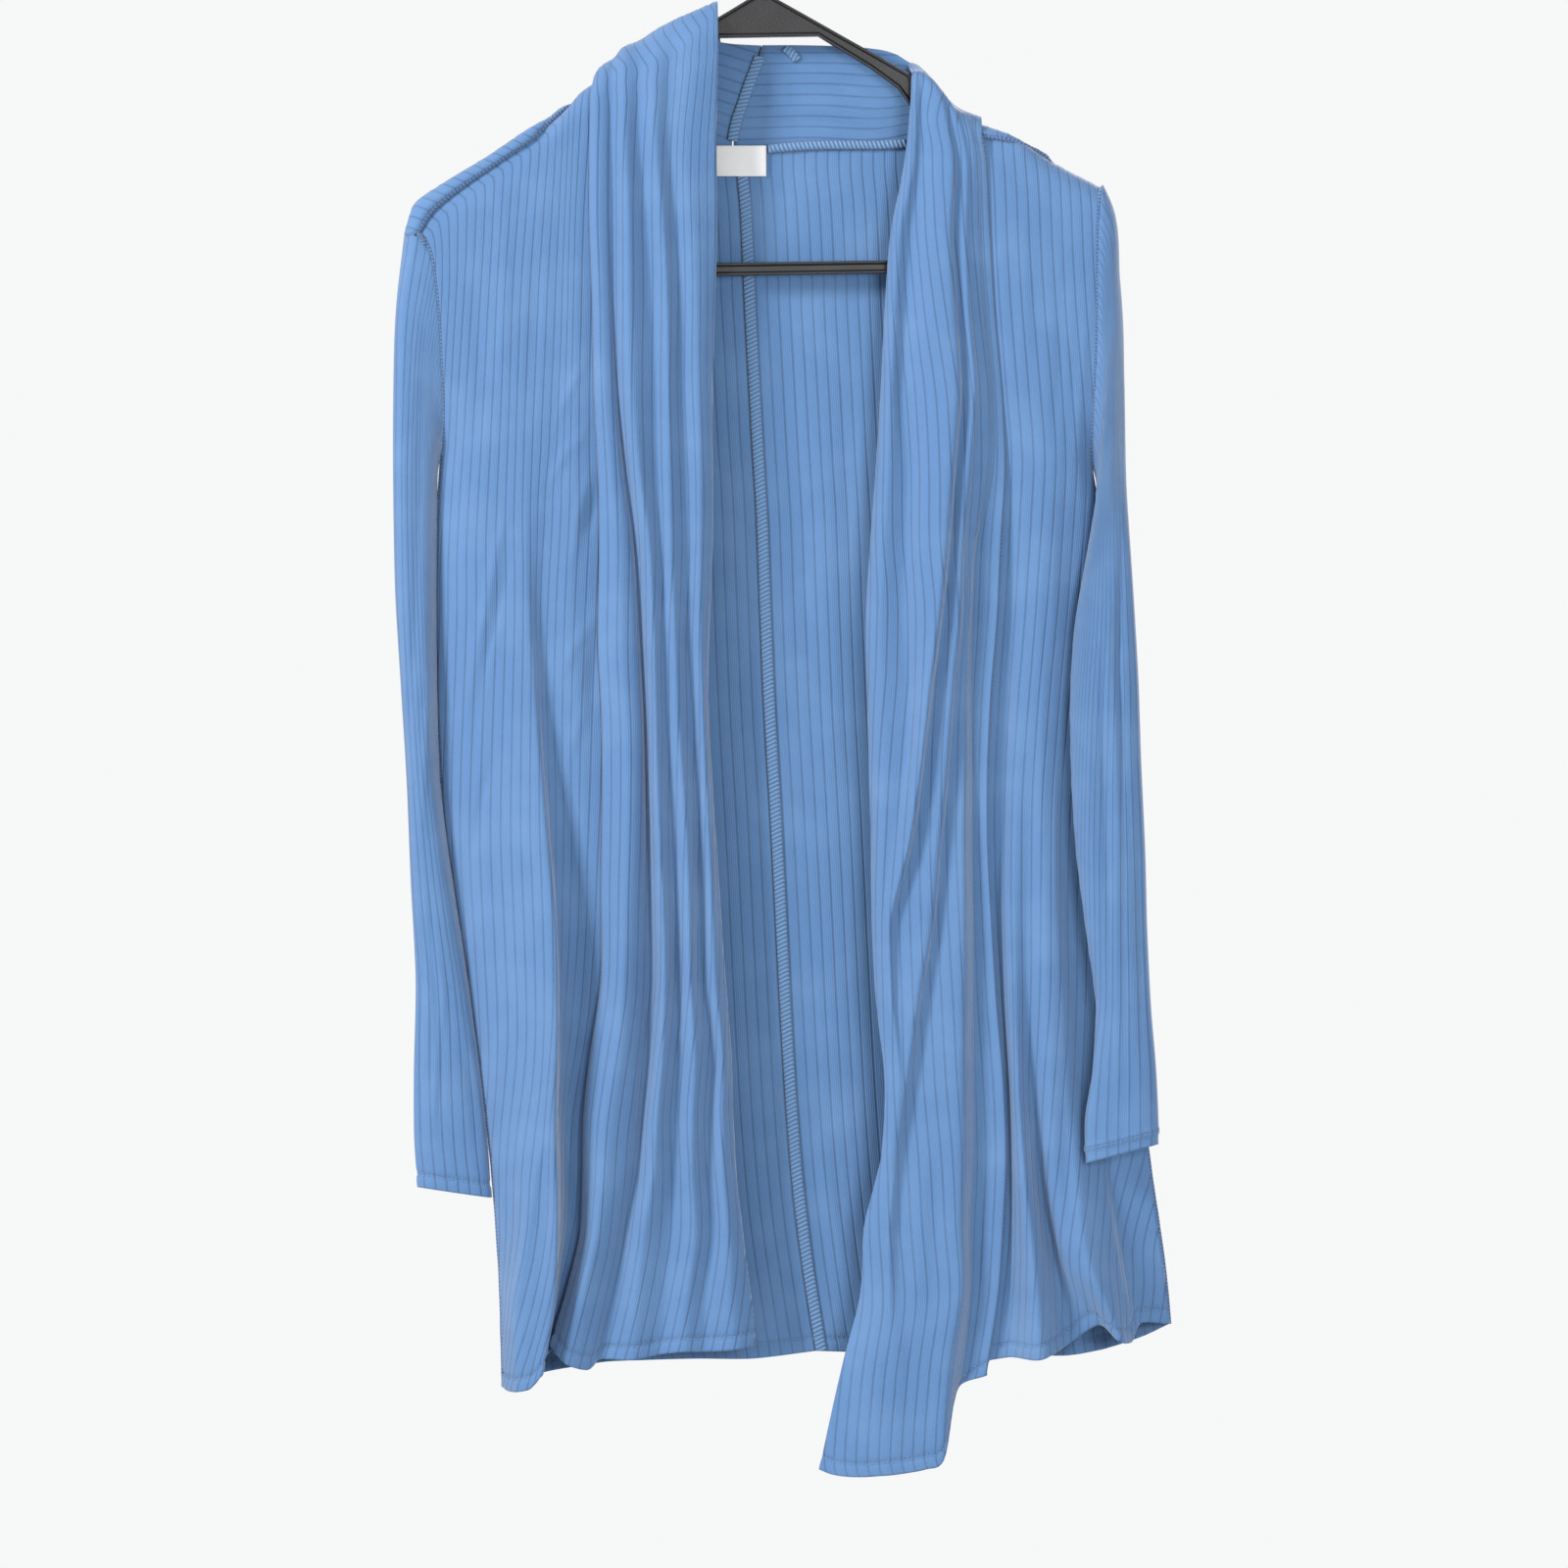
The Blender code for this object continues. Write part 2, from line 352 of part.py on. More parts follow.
# Fold lines: band seam, strip crest, its right side, gap, first ridge, first valley,
# second ridge, second valley, third ridge, inner edge. The first three sections run
# from the centre of the back, where the band stands and rolls over, to the shoulder.
DRAPE_RIGHT = (
    ((153, 132, 107, 82, 60, 45, 62, 90, 118, 148),
     (747, 748, 755, 762, 771, 777, 776, 768, 760, 752),
     (14.2, 14.5, 15.0, 15.4, 15.6, 19.4, 23.4, 24.8, 25.6, 26.0)),
    ((147, 124, 100, 76, 56, 43, 54, 72, 92, 112),
     (728, 730, 733, 736, 739, 741, 742, 742, 742, 742),
     (14.0, 14.0, 14.2, 14.4, 14.8, 18.4, 22.4, 24.0, 25.0, 25.6)),
    ((128, 109, 90, 70, 50, 36, 33, 38, 45, 52),
     (672, 678, 685, 693, 702, 710, 716, 723, 730, 736),
     (13.2, 13.2, 13.2, 13.2, 13.6, 15.8, 18.4, 20.6, 22.2, 23.2)),
    ((93, 83, 73, 62, 48, 38, 25, 17, 13, 12),
     (613, 618, 624, 632, 644, 660, 680, 702, 719, 732),
     (12.0, 11.4, 10.8, 10.0, 9.6, 9.8, 11.0, 13.0, 15.4, 17.6)),
    ((77, 69, 64, 60, 48, 43, 32.5, 21, 12, 1),
     (608, 613, 619, 626, 637, 652, 668, 688, 708, 732),
     (0.0, 0.0, 0.0, 1.0, 0.0, 1.0, 0.0, 1.0, 0.0, 0.0)),
    ((94, 84, 80, 78, 68, 64, 56, 48, 42, 34),
     (604, 610, 617, 624, 638, 653, 669, 686, 707, 733),
     (-10.4, -12.0, -11.8, -10.8, -13.0, -11.0, -13.0, -10.6, -12.0, -9.6)),
    (138, (602, 610, 618, 624, 638, 653, 668, 683, 700, 731),
     (-11.4, -14.5, -13.5, -11.6, -17.0, -12.6, -17.0, -12.6, -14.5, -10.0)),
    (220, (602, 610, 619, 626, 641, 659, 675, 687, 705, 732),
     (-11.4, -15.0, -13.5, -11.0, -19.0, -12.6, -18.0, -12.2, -15.5, -9.6)),
    (300, (605, 613, 621, 625, 642, 665, 680, 691, 710, 730),
     (-11.4, -15.0, -13.5, -10.6, -20.0, -12.6, -18.4, -12.0, -16.0, -9.4)),
    (400, (607, 617, 625.5, 629, 645, 669, 682, 693, 712, 727),
     (-11.4, -15.4, -13.8, -9.8, -20.6, -12.6, -18.4, -11.6, -16.0, -9.2)),
    (480, (611, 624, 632.5, 637, 652, 669, 683, 697, 714, 727),
     (-11.4, -16.0, -14.0, -9.2, -21.0, -13.6, -18.4, -11.4, -16.2, -9.2)),
    (560, (612, 632, 643, 647, 662, 674, 685, 700, 714, 727),
     (-11.4, -16.8, -14.0, -8.8, -21.0, -15.6, -18.8, -11.2, -16.4, -9.0)),
    (660, (611, 635, 648.5, 653, 667, 677, 689, 701, 714, 723),
     (-11.4, -17.6, -14.4, -8.4, -21.6, -15.6, -19.2, -11.2, -16.4, -8.6)),
    (740, (615, 640, 653, 657, 669, 679, 692, 706, 717, 723),
     (-11.4, -18.4, -14.8, -8.2, -21.6, -15.0, -19.6, -11.0, -16.4, -8.2)),
    (820, (615, 642, 654, 659, 671, 684, 698, 710, 721, 728),
     (-11.4, -19.0, -15.0, -8.0, -22.0, -14.0, -20.0, -11.0, -16.4, -8.0)),
    (900, (614, 640, 653, 660, 675, 687, 702, 713, 725, 733),
     (-11.4, -19.6, -15.2, -7.6, -22.0, -13.0, -20.4, -11.0, -16.8, -8.0)),
    (1000, (614, 636, 650, 661, 678, 690, 704, 715, 729, 740),
     (-11.4, -20.4, -15.2, -7.0, -22.0, -12.6, -20.8, -11.0, -17.0, -7.6)),
    (1080, (602, 631, 648, 658, 675, 690, 708, 725, 737, 746),
     (-11.4, -21.2, -15.2, -7.0, -22.0, -12.6, -21.0, -11.0, -17.2, -7.6)),
    (1140, (596, 621, 645, 653, 670, 688, 706, 722, 736, 748),
     (-11.4, -22.0, -15.4, -8.0, -22.0, -12.6, -21.0, -11.0, -17.4, -7.6)),
    (1200, (595, 616, 638, 647, 666, 687, 705, 722, 738, 751),
     (-11.4, -22.6, -16.0, -9.4, -21.6, -12.8, -20.6, -11.4, -17.4, -7.8)),
    (1260, (592, 609, 626, 635, 656, 685, 708, 727, 743, 758),
     (-11.4, -23.0, -16.4, -10.4, -20.8, -13.2, -19.8, -12.4, -17.0, -8.2)),
    (1320, (577, 595, 614, 625, 650, 680, 700, 720, 744, 766),
     (-11.4, -23.0, -16.8, -11.0, -20.0, -13.6, -19.0, -13.4, -17.0, -8.8)),
    ((1371, 1391, 1396, 1387, 1386, 1381, 1378, 1378, 1376, 1371),
     (561, 580, 600, 610, 645, 673, 698, 722, 750, 771),
     (-11.4, -22.6, -17.0, -11.4, -19.6, -13.8, -18.4, -13.8, -17.0, -9.2)),
)
DRAPE_RIGHT_ALONG = (1, 2, 3, 2) + (1,) * 5 + (1, 2, 2, 2, 2, 1, 1, 2, 1, 1, 1, 1, 1)
DRAPE_RIGHT_ACROSS = (2, 1, 1, 2, 2, 2, 2, 2, 2)

# Fold lines: inner edge, first ridge, groove, flat, front layer's edge, second layer,
# its edge, third layer, its middle, its edge, fourth layer, band seam
DRAPE_LEFT = (
    ((148, 122, 97, 76, 58, 45, 52, 66, 82, 107, 132, 153),
     (753.2, 760.2, 767.2, 773.2, 777.2, 778.2, 775.4, 770.2, 763.4, 756.4, 749.4, 748.2),
     (26.0, 25.6, 25.0, 24.2, 22.6, 19.2, 16.0, 15.4, 15.4, 15.0, 14.5, 14.2)),
    ((150, 126, 102, 80, 60, 45, 54, 66, 80, 103, 128, 151),
     (812, 814, 816, 818, 820, 821, 822, 822, 823, 824, 824, 824),
     (25.4, 25.0, 24.4, 23.4, 21.6, 18.0, 14.8, 14.0, 13.8, 13.8, 14.0, 14.2)),
    ((138, 116, 96, 76, 59, 48, 57, 70, 86, 108, 130, 152),
     (872, 876, 880, 884, 886, 887, 888, 890, 893, 897, 901, 905),
     (24.4, 24.0, 23.0, 22.0, 20.4, 17.0, 14.0, 13.2, 13.0, 13.0, 13.4, 13.8)),
    ((76, 71, 66, 61, 57.5, 57, 60, 70, 84, 100, 116, 134),
     (916, 916, 916, 916, 917, 918, 922, 930, 941, 953, 965, 978),
     (19.8, 19.6, 19.0, 17.8, 16.0, 14.0, 12.8, 12.4, 12.2, 12.4, 12.6, 12.8)),
    ((66, 64, 64, 67, 73, 80, 88, 96, 103, 109, 114, 123),
     (926, 929, 933, 938, 944, 950, 956, 963, 970, 977, 985, 996),
     (12.6, 11.6, 10.8, 10.2, 9.6, 9.2, 8.8, 8.6, 8.6, 8.8, 9.0, 9.4)),
    ((72.5, 72, 72, 78.5, 86, 93, 100, 106.5, 111.5, 115, 116.6, 119.5),
     (929, 934, 940, 948, 955, 960, 965, 970, 976, 983, 991, 1001),
     (1.0, 0.0, 0.6, 0.0, 0.0, 0.6, 0.0, 0.6, 0.6, 0.0, 0.0, 0.0)),
    ((77, 76.5, 77, 82, 90, 96, 103.5, 110.5, 115, 118.5, 120.5, 125),
     (930, 934, 940, 949, 957, 962, 967.5, 972.5, 978, 985, 992, 1001),
     (-7.8, -8.6, -8.2, -9.2, -9.8, -9.2, -9.2, -9.0, -9.0, -9.2, -9.2, -9.2)),
    ((98, 98, 99, 101, 106, 110, 117, 122, 127, 131, 134, 138),
     (930, 934, 940, 950, 961, 966, 974, 979, 984, 989, 994, 1001),
     (-9.8, -12.0, -10.8, -13.0, -14.0, -12.4, -13.4, -12.4, -12.8, -12.4, -12.0, -11.8)),
    (160, (924, 931, 939.5, 957, 971, 975, 984, 988, 992, 996, 999.5, 1004),
     (-10.0, -14.0, -12.0, -17.0, -18.0, -14.6, -16.0, -14.6, -14.0, -13.0, -12.4, -11.8)),
    (240, (909, 917, 930, 950, 968, 973, 984, 988, 992, 997, 1002, 1009),
     (-10.0, -15.0, -12.0, -19.0, -21.0, -16.4, -18.0, -16.0, -15.0, -13.6, -12.6, -11.8)),
    (320, (903, 911, 925, 946, 972, 977, 987, 991, 996, 1001, 1007, 1014),
     (-10.0, -16.0, -12.6, -21.0, -23.0, -17.4, -20.0, -16.8, -15.2, -13.8, -12.6, -11.8)),
    (400, (899, 908, 921, 946, 976, 981, 993, 997, 1002, 1008, 1014, 1021),
     (-10.0, -17.0, -13.2, -22.0, -25.0, -18.4, -21.0, -17.2, -15.4, -13.8, -12.6, -11.8)),
    (480, (894, 905, 926, 946, 970, 975, 987, 992, 998, 1006, 1014, 1025),
     (-10.0, -18.0, -14.2, -23.0, -26.0, -18.8, -21.6, -17.2, -15.4, -13.8, -12.6, -12.2)),
    (560, (888, 900, 924, 942, 964, 969, 980, 984, 988, 992, 998, 1021),
     (-10.0, -18.0, -15.0, -24.0, -27.0, -19.2, -22.0, -17.2, -14.8, -13.0, -11.0, -12.6)),
    (630, (884, 897, 922, 940, 957, 962, 977, 981, 984.5, 988, 994, 1018),
     (-10.0, -18.0, -15.6, -24.6, -28.0, -19.6, -22.4, -17.0, -14.4, -12.2, -10.0, -12.8)),
    (700, (885, 897, 927, 938, 948, 953, 970, 975, 980, 985, 992, 1012),
     (-10.0, -18.4, -17.0, -24.6, -28.0, -19.8, -22.4, -16.8, -14.6, -13.2, -10.0, -12.8)),
    (780, (887, 899, 923, 932, 939, 944, 964, 969, 976, 984, 992, 1008),
     (-10.0, -18.4, -19.0, -24.0, -27.6, -20.0, -22.4, -16.6, -15.8, -15.4, -10.0, -12.8)),
    (860, (889, 898, 911, 919, 927, 933, 956, 961, 972, 983, 992, 1008),
     (-10.4, -18.0, -19.6, -23.0, -26.4, -19.6, -22.4, -16.2, -17.0, -17.4, -10.0, -12.8)),
    (940, (890, 895, 900, 904, 908, 915, 948, 954, 968, 983, 993, 1012),
     (-12.0, -16.6, -19.0, -21.0, -23.0, -19.0, -22.4, -16.2, -18.0, -18.6, -10.0, -12.8)),
    (1020, (894, 898, 902, 906, 910, 915, 935, 941, 962, 982, 994, 1017),
     (-14.0, -17.0, -19.0, -20.6, -21.8, -19.4, -22.4, -16.6, -18.6, -19.4, -10.0, -12.8)),
    (1100, (903, 906, 909, 913, 917, 920.5, 925, 932, 955, 980, 995, 1024),
     (-17.0, -19.0, -20.0, -21.0, -22.0, -21.6, -20.8, -16.2, -18.4, -19.8, -10.4, -12.8)),
    (1180, (899, 902, 904.5, 907, 909.5, 912, 914.5, 922, 947, 979, 995, 1027),
     (-17.4, -18.6, -19.6, -20.2, -20.4, -20.2, -19.4, -16.2, -18.4, -20.0, -10.4, -12.8)),
    (1250, (882, 887, 892, 897, 901, 904.5, 908, 917, 946, 977, 991, 1024),
     (-14.0, -15.6, -17.0, -18.2, -19.2, -19.8, -20.0, -16.8, -18.8, -20.2, -10.6, -12.8)),
    (1320, (878, 883, 889, 895, 900, 905, 909, 920, 948, 979, 990, 1019),
     (-13.0, -15.0, -17.0, -18.6, -19.6, -20.2, -20.4, -17.8, -19.2, -20.4, -11.2, -12.8)),
    (1390, (860, 869, 878, 887, 896, 904, 912, 926, 946, 968, 984, 1008),
     (-12.0, -14.6, -17.0, -18.6, -19.6, -20.0, -20.0, -19.0, -19.6, -20.4, -12.0, -12.8)),
    ((1498, 1502, 1504, 1505, 1505, 1504, 1503, 1501, 1497, 1488, 1420, 1402),
     (836, 846, 856, 868, 882, 896, 910, 925, 945, 962, 974, 1007),
     (-12.0, -14.6, -17.0, -18.6, -19.6, -20.0, -20.0, -19.4, -19.6, -19.8, -13.4, -12.8)),
)
DRAPE_LEFT_ALONG = (1, 1, 3, 2, 1) + (1,) * 19 + (2,)
DRAPE_LEFT_ACROSS = (2, 2, 2, 2, 1, 2, 1, 1, 2, 1, 2)

LABEL_PATCH = (
    (147.5, (700, 741, 782), (10.0, 10.0, 10.0)),
    (179.0, (700, 741, 782), (10.0, 10.0, 10.0)),
)

# The sleeves are tubes. Their first sections are the armhole and the sleeve head: the
# front half, from the outer edge to the underarm, which the back half mirrors.
SLEEVE_RIGHT_HEAD = (
    ((241.5, 241.6, 245, 258, 286, 326, 386, 432, 461),
     (413, 424, 432.6, 439.6, 444.6, 448.6, 451.6, 452.4, 450),
     (0.0, -9.3, -9.3, -9.4, -9.4, -9.4, -8.6, -5.4, 0.0)),
    ((300, 303, 308, 318, 336, 366, 410, 448, 478),
     (406, 411, 418, 426, 434, 440, 445, 447.6, 446.4),
     (0.0, -8.0, -9.6, -9.9, -9.9, -9.6, -8.8, -5.8, 0.0)),
)
SLEEVE_LEFT_HEAD = (
    ((189, 203, 224, 262, 310, 360, 410, 447, 471),
     (1124.4, 1122.4, 1120.8, 1119.6, 1119.6, 1118.6, 1116.6, 1114.8, 1114),
     (0.0, -7.9, -9.4, -9.4, -9.4, -9.0, -8.0, -4.6, 0.0)),
    ((207, 214, 232, 266, 312, 362, 413, 453, 482),
     (1133, 1130.6, 1127, 1124, 1122.5, 1121.4, 1119.8, 1118.6, 1117.4),
     (0.0, -7.0, -9.4, -9.6, -9.6, -9.2, -8.4, -5.6, -0.6)),
    ((285, 288, 296, 311, 340, 380, 426, 470, 508),
     (1141.5, 1139, 1136, 1132, 1129.4, 1127.4, 1125.4, 1122.4, 1119),
     (0.0, -6.5, -9.2, -10.0, -10.2, -10.4, -10.6, -9.6, -4.0)),
)

# Below the head a sleeve has one level a line: the row, column and depth of the centre
# line at its outer and inner edges, and half its thickness.
SLEEVE_RIGHT_LEVELS = (
    ((420, 402, 0.0), (515, 445.4, 0.0), 10.0),
    ((600, 404, 0.0), (605, 443.0, 0.0), 12.0),
    ((700, 410, 0.0), (700, 443.5, 0.0), 13.6),
    ((800, 416, 0.0), (800, 446.5, 0.0), 13.0),
    ((900, 420, 0.0), (900, 459.5, 0.0), 11.6),
    ((1000, 425, 0.0), (1000, 475.0, 0.0), 10.0),
    ((1100, 423, 0.0), (1100, 488.0, 0.0), 8.6),
    ((1165, 423.5, 0.0), (1170, 497.0, 0.0), 7.6),
    ((1211, 427, 0.0), (1222, 500.5, 0.0), 6.6),
)
SLEEVE_LEFT_LEVELS = (
    ((392, 1146, -1.0), (552, 1112, -12.0), 8.4),
    ((500, 1148, -6.0), (612, 1101, -17.6), 8.4),
    ((600, 1154, -16.0), (645, 1096, -19.6), 8.6),
    ((690, 1159, -20.0), (710, 1092, -21.4), 8.8),
    ((780, 1162, -22.0), (790, 1093, -22.6), 9.0),
    ((870, 1166, -23.0), (870, 1098, -23.4), 9.2),
    ((950, 1168, -23.6), (950, 1108, -24.0), 9.4),
    ((1030, 1172, -24.0), (1030, 1118, -24.4), 9.0),
    ((1090, 1177, -24.0), (1095, 1114, -24.4), 8.4),
    ((1130, 1179, -24.0), (1140, 1107, -24.4), 8.0),
    ((1166, 1180, -24.0), (1185, 1107, -24.4), 7.4),
)
SLEEVE_LINES = 16
SLEEVE_FULLNESS = 0.82       # 1 is an ellipse, less is a flatter tube with rounder edges

# The hanger's moulding: the outer edge and the edge of its opening, one pair a line, as
# columns from its middle and rows, from the apex round the end to the middle of the bar.
HANGER_EDGES = (
    ((0, -9), (0, 38)),
    ((30, 8.5), (30, 38)),
    ((60, 26), (56, 38)),
    ((90, 43.6), (78, 52)),
    ((120, 61), (108, 71)),
    ((150, 79), (136, 92)),
    ((156, 103), (150, 112)),
    ((166, 113), (162, 126)),
    ((200, 130), (196, 146)),
    ((260, 162), (254, 178)),
    ((318, 194), (310, 208)),
    ((334, 203.5), (322, 217)),
    ((343, 213), (329, 225)),
    ((346, 227), (332, 232)),
    ((344, 246), (331, 245)),
    ((336, 263), (325, 256)),
    ((322, 275), (314, 264)),
    ((298, 281), (294, 268)),
    ((150, 281), (150, 268)),
    ((0, 281), (0, 268)),
)
# The hook's centre line in units of its radius, across and up from the round's centre.
HOOK_STEM = ((0.0, -3.06), (0.0, -2.3), (0.06, -1.85), (0.32, -1.42), (0.68, -1.02))
HOOK_FIRST_ANGLE = -35
HOOK_LAST_ANGLE = 205
HOOK_ARC_STEPS = 16


def back_table(top, levels, shares, hem):
    """A back's sections: the drafted top, the levels spread over their width, the hem."""
    table = list(top)
    for row, side, centre, depths in levels:
        columns = tuple(side + share * (centre - side) for share in shares)
        table.append((row, columns, depths))
    table.append(hem)
    return table


def reverse_lines(sections):
    """The same sections with their fold lines in the opposite order."""
    table = []
    for rows, columns, depths in sections:
        turned_rows = rows[::-1] if isinstance(rows, tuple) else rows
        table.append((turned_rows, columns[::-1], depths[::-1]))
    return table


def sleeve_head(section):
    """A whole ring from its front half: the back half mirrors the depths."""
    rows, columns, depths = section
    whole_rows = rows + rows[-2:0:-1]
    whole_columns = columns + columns[-2:0:-1]
    whole_depths = depths + tuple(-depth for depth in depths[-2:0:-1])
    return whole_rows, whole_columns, whole_depths


def sleeve_level(outer, inner, half_thickness):
    """A flattened ring between the outer and the inner edge of a sleeve."""
    rows, columns, depths = [], [], []
    for i in range(SLEEVE_LINES):
        angle = 2 * math.pi * i / SLEEVE_LINES
        along = math.cos(angle)
        share = 0.5 - 0.5 * math.copysign(abs(along) ** SLEEVE_FULLNESS, along)
        bulge = math.copysign(abs(math.sin(angle)) ** SLEEVE_FULLNESS, math.sin(angle))
        rows.append(outer[0] + share * (inner[0] - outer[0]))
        columns.append(outer[1] + share * (inner[1] - outer[1]))
        middle = outer[2] + share * (inner[2] - outer[2])
        depths.append(middle - half_thickness * bulge)
    return tuple(rows), tuple(columns), tuple(depths)


def add_sleeve(name, head, levels):
    table = [sleeve_head(section) for section in head]
    table += [sleeve_level(*level) for level in levels]
    along = [1] * (len(head) - 1) + [1] + [1] * (len(levels) - 1)
    return add_sheet(name, table, along, (1,) * SLEEVE_LINES, closed=True)


def add_hanger_frame():
    """The moulded triangle: a web at its apex, arms with a strap notch and a round bar."""
    outer = [pair[0] for pair in HANGER_EDGES]
    inner = [pair[1] for pair in HANGER_EDGES]
    outer += [(-column, row) for column, row in outer[-2:0:-1]]
    inner += [(-column, row) for column, row in inner[-2:0:-1]]
    mesh = bmesh.new()
    loops = []
    for edge in (outer, inner):
        corners = []
        for column, row in edge:
            x, _, z = place(column + CENTRE_COLUMN, row, 0.0)
            corners.append(mesh.verts.new((x, -HANGER_HALF_THICKNESS, z)))
        loops.append(corners)
    count = len(outer)
    for i in range(count):
        j = (i + 1) % count
        mesh.faces.new((loops[0][i], loops[0][j], loops[1][j], loops[1][i]))
    front = mesh.faces[:]
    grown = bmesh.ops.extrude_face_region(mesh, geom=front)
    moved = [part for part in grown["geom"] if isinstance(part, bmesh.types.BMVert)]
    bmesh.ops.translate(mesh, vec=(0.0, 2 * HANGER_HALF_THICKNESS, 0.0), verts=moved)
    bmesh.ops.recalc_face_normals(mesh, faces=mesh.faces[:])
    rims = []
    for line in mesh.edges:
        normals = [face.normal for face in line.link_faces]
        if len(normals) == 2 and abs(normals[0].y) + abs(normals[1].y) > 0.5:
            if abs(normals[0].dot(normals[1])) < 0.5:
                rims.append(line)
    bmesh.ops.bevel(mesh, geom=rims, offset=HANGER_EDGE_RADIUS, offset_type="OFFSET",
                    affect="EDGES", segments=2, profile=0.5, material=-1)
    apex = place(CENTRE_COLUMN, 0, 0.0)
    turn = Matrix.Translation(apex) @ Matrix.Rotation(-TILT, 4, "Y")
    bmesh.ops.transform(mesh, matrix=turn @ Matrix.Translation((0, 0, -apex[2])),
                        verts=mesh.verts)
    data = bpy.data.meshes.new("hanger")
    mesh.to_mesh(data)
    mesh.free()
    data.set_sharp_from_angle(angle=math.radians(40))
    return add_object("hanger", data, PLASTIC)


def hook_points():
    """The hook's centre line, from its root in the web up and over to its free end."""
    centre_z = HOOK_ROD_RADIUS - HOOK_RADIUS
    points = []
    for across, up in HOOK_STEM:
        points.append((across * HOOK_RADIUS, centre_z + up * HOOK_RADIUS))
    for i in range(HOOK_ARC_STEPS + 1):
        share = i / HOOK_ARC_STEPS
        degrees = HOOK_FIRST_ANGLE + share * (HOOK_LAST_ANGLE - HOOK_FIRST_ANGLE)
        angle = math.radians(degrees)
        x = HOOK_RADIUS * math.cos(angle)
        points.append((x, centre_z + HOOK_RADIUS * math.sin(angle)))
    return points


def add_hook(hanger):
    """The round hook, fused into the moulding at its root."""
    curve = bpy.data.curves.new("hook", "CURVE")
    curve.dimensions = "3D"
    curve.bevel_depth = HOOK_ROD_RADIUS
    curve.bevel_resolution = 3
    curve.use_fill_caps = True
    route = hook_points()
    spline = curve.splines.new("POLY")
    spline.points.add(len(route) - 1)
    for point, (x, z) in zip(spline.points, route):
        point.co = (x, 0.0, z, 1.0)
    guide = bpy.data.objects.new("hook_guide", curve)
    bpy.context.collection.objects.link(guide)
    graph = bpy.context.evaluated_depsgraph_get()
    solid = bpy.data.meshes.new_from_object(guide.evaluated_get(graph))
    bpy.data.objects.remove(guide)
    cutter = bpy.data.objects.new("hook_solid", solid)
    cutter.hide_render = True
    cutter.display_type = "WIRE"
    bpy.context.collection.objects.link(cutter)
    join = hanger.modifiers.new("hook", "BOOLEAN")
    join.operation = "UNION"
    join.object = cutter


def main():
    for old in list(bpy.data.objects):
        bpy.data.objects.remove(old)
    add_sheet("front_right", FRONT_RIGHT, FRONT_RIGHT_ALONG, FRONT_RIGHT_ACROSS)
    add_sheet("front_left", FRONT_LEFT, FRONT_LEFT_ALONG, FRONT_LEFT_ACROSS)
    right = back_table(BACK_RIGHT_TOP, BACK_RIGHT_LEVELS, BACK_RIGHT_SHARES, BACK_RIGHT_HEM)
    add_sheet("back_right", right, BACK_ALONG, BACK_RIGHT_ACROSS)
    top = reverse_lines(BACK_LEFT_TOP)
    hem = reverse_lines([BACK_LEFT_HEM])[0]
    left = back_table(top, BACK_LEFT_LEVELS, BACK_LEFT_SHARES, hem)
    add_sheet("back_left", left, BACK_LEFT_ALONG, BACK_LEFT_ACROSS)
    add_sheet("drape_right", DRAPE_RIGHT, DRAPE_RIGHT_ALONG, DRAPE_RIGHT_ACROSS)
    add_sheet("drape_left", DRAPE_LEFT, DRAPE_LEFT_ALONG, DRAPE_LEFT_ACROSS)
    add_sleeve("sleeve_right", SLEEVE_RIGHT_HEAD, SLEEVE_RIGHT_LEVELS)
    add_sleeve("sleeve_left", SLEEVE_LEFT_HEAD, SLEEVE_LEFT_LEVELS)
    add_sheet("neck_label", LABEL_PATCH, (2,), (1, 1), LABEL, LABEL_WALL)
    add_hook(add_hanger_frame())


main()
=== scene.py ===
"""Looks of an open-front draped cardigan on a moulded hanger, built around its solids.

+Z is up, the front faces -Y and +X is the viewer's right, the wearer's left. The cloth is
drafted on a grid of a front view whose rows run down and whose columns run to the right.
"""
import math

import bmesh
import bpy
import numpy as np
from bpy.props import FloatProperty, FloatVectorProperty, PointerProperty
from mathutils import Matrix, Vector


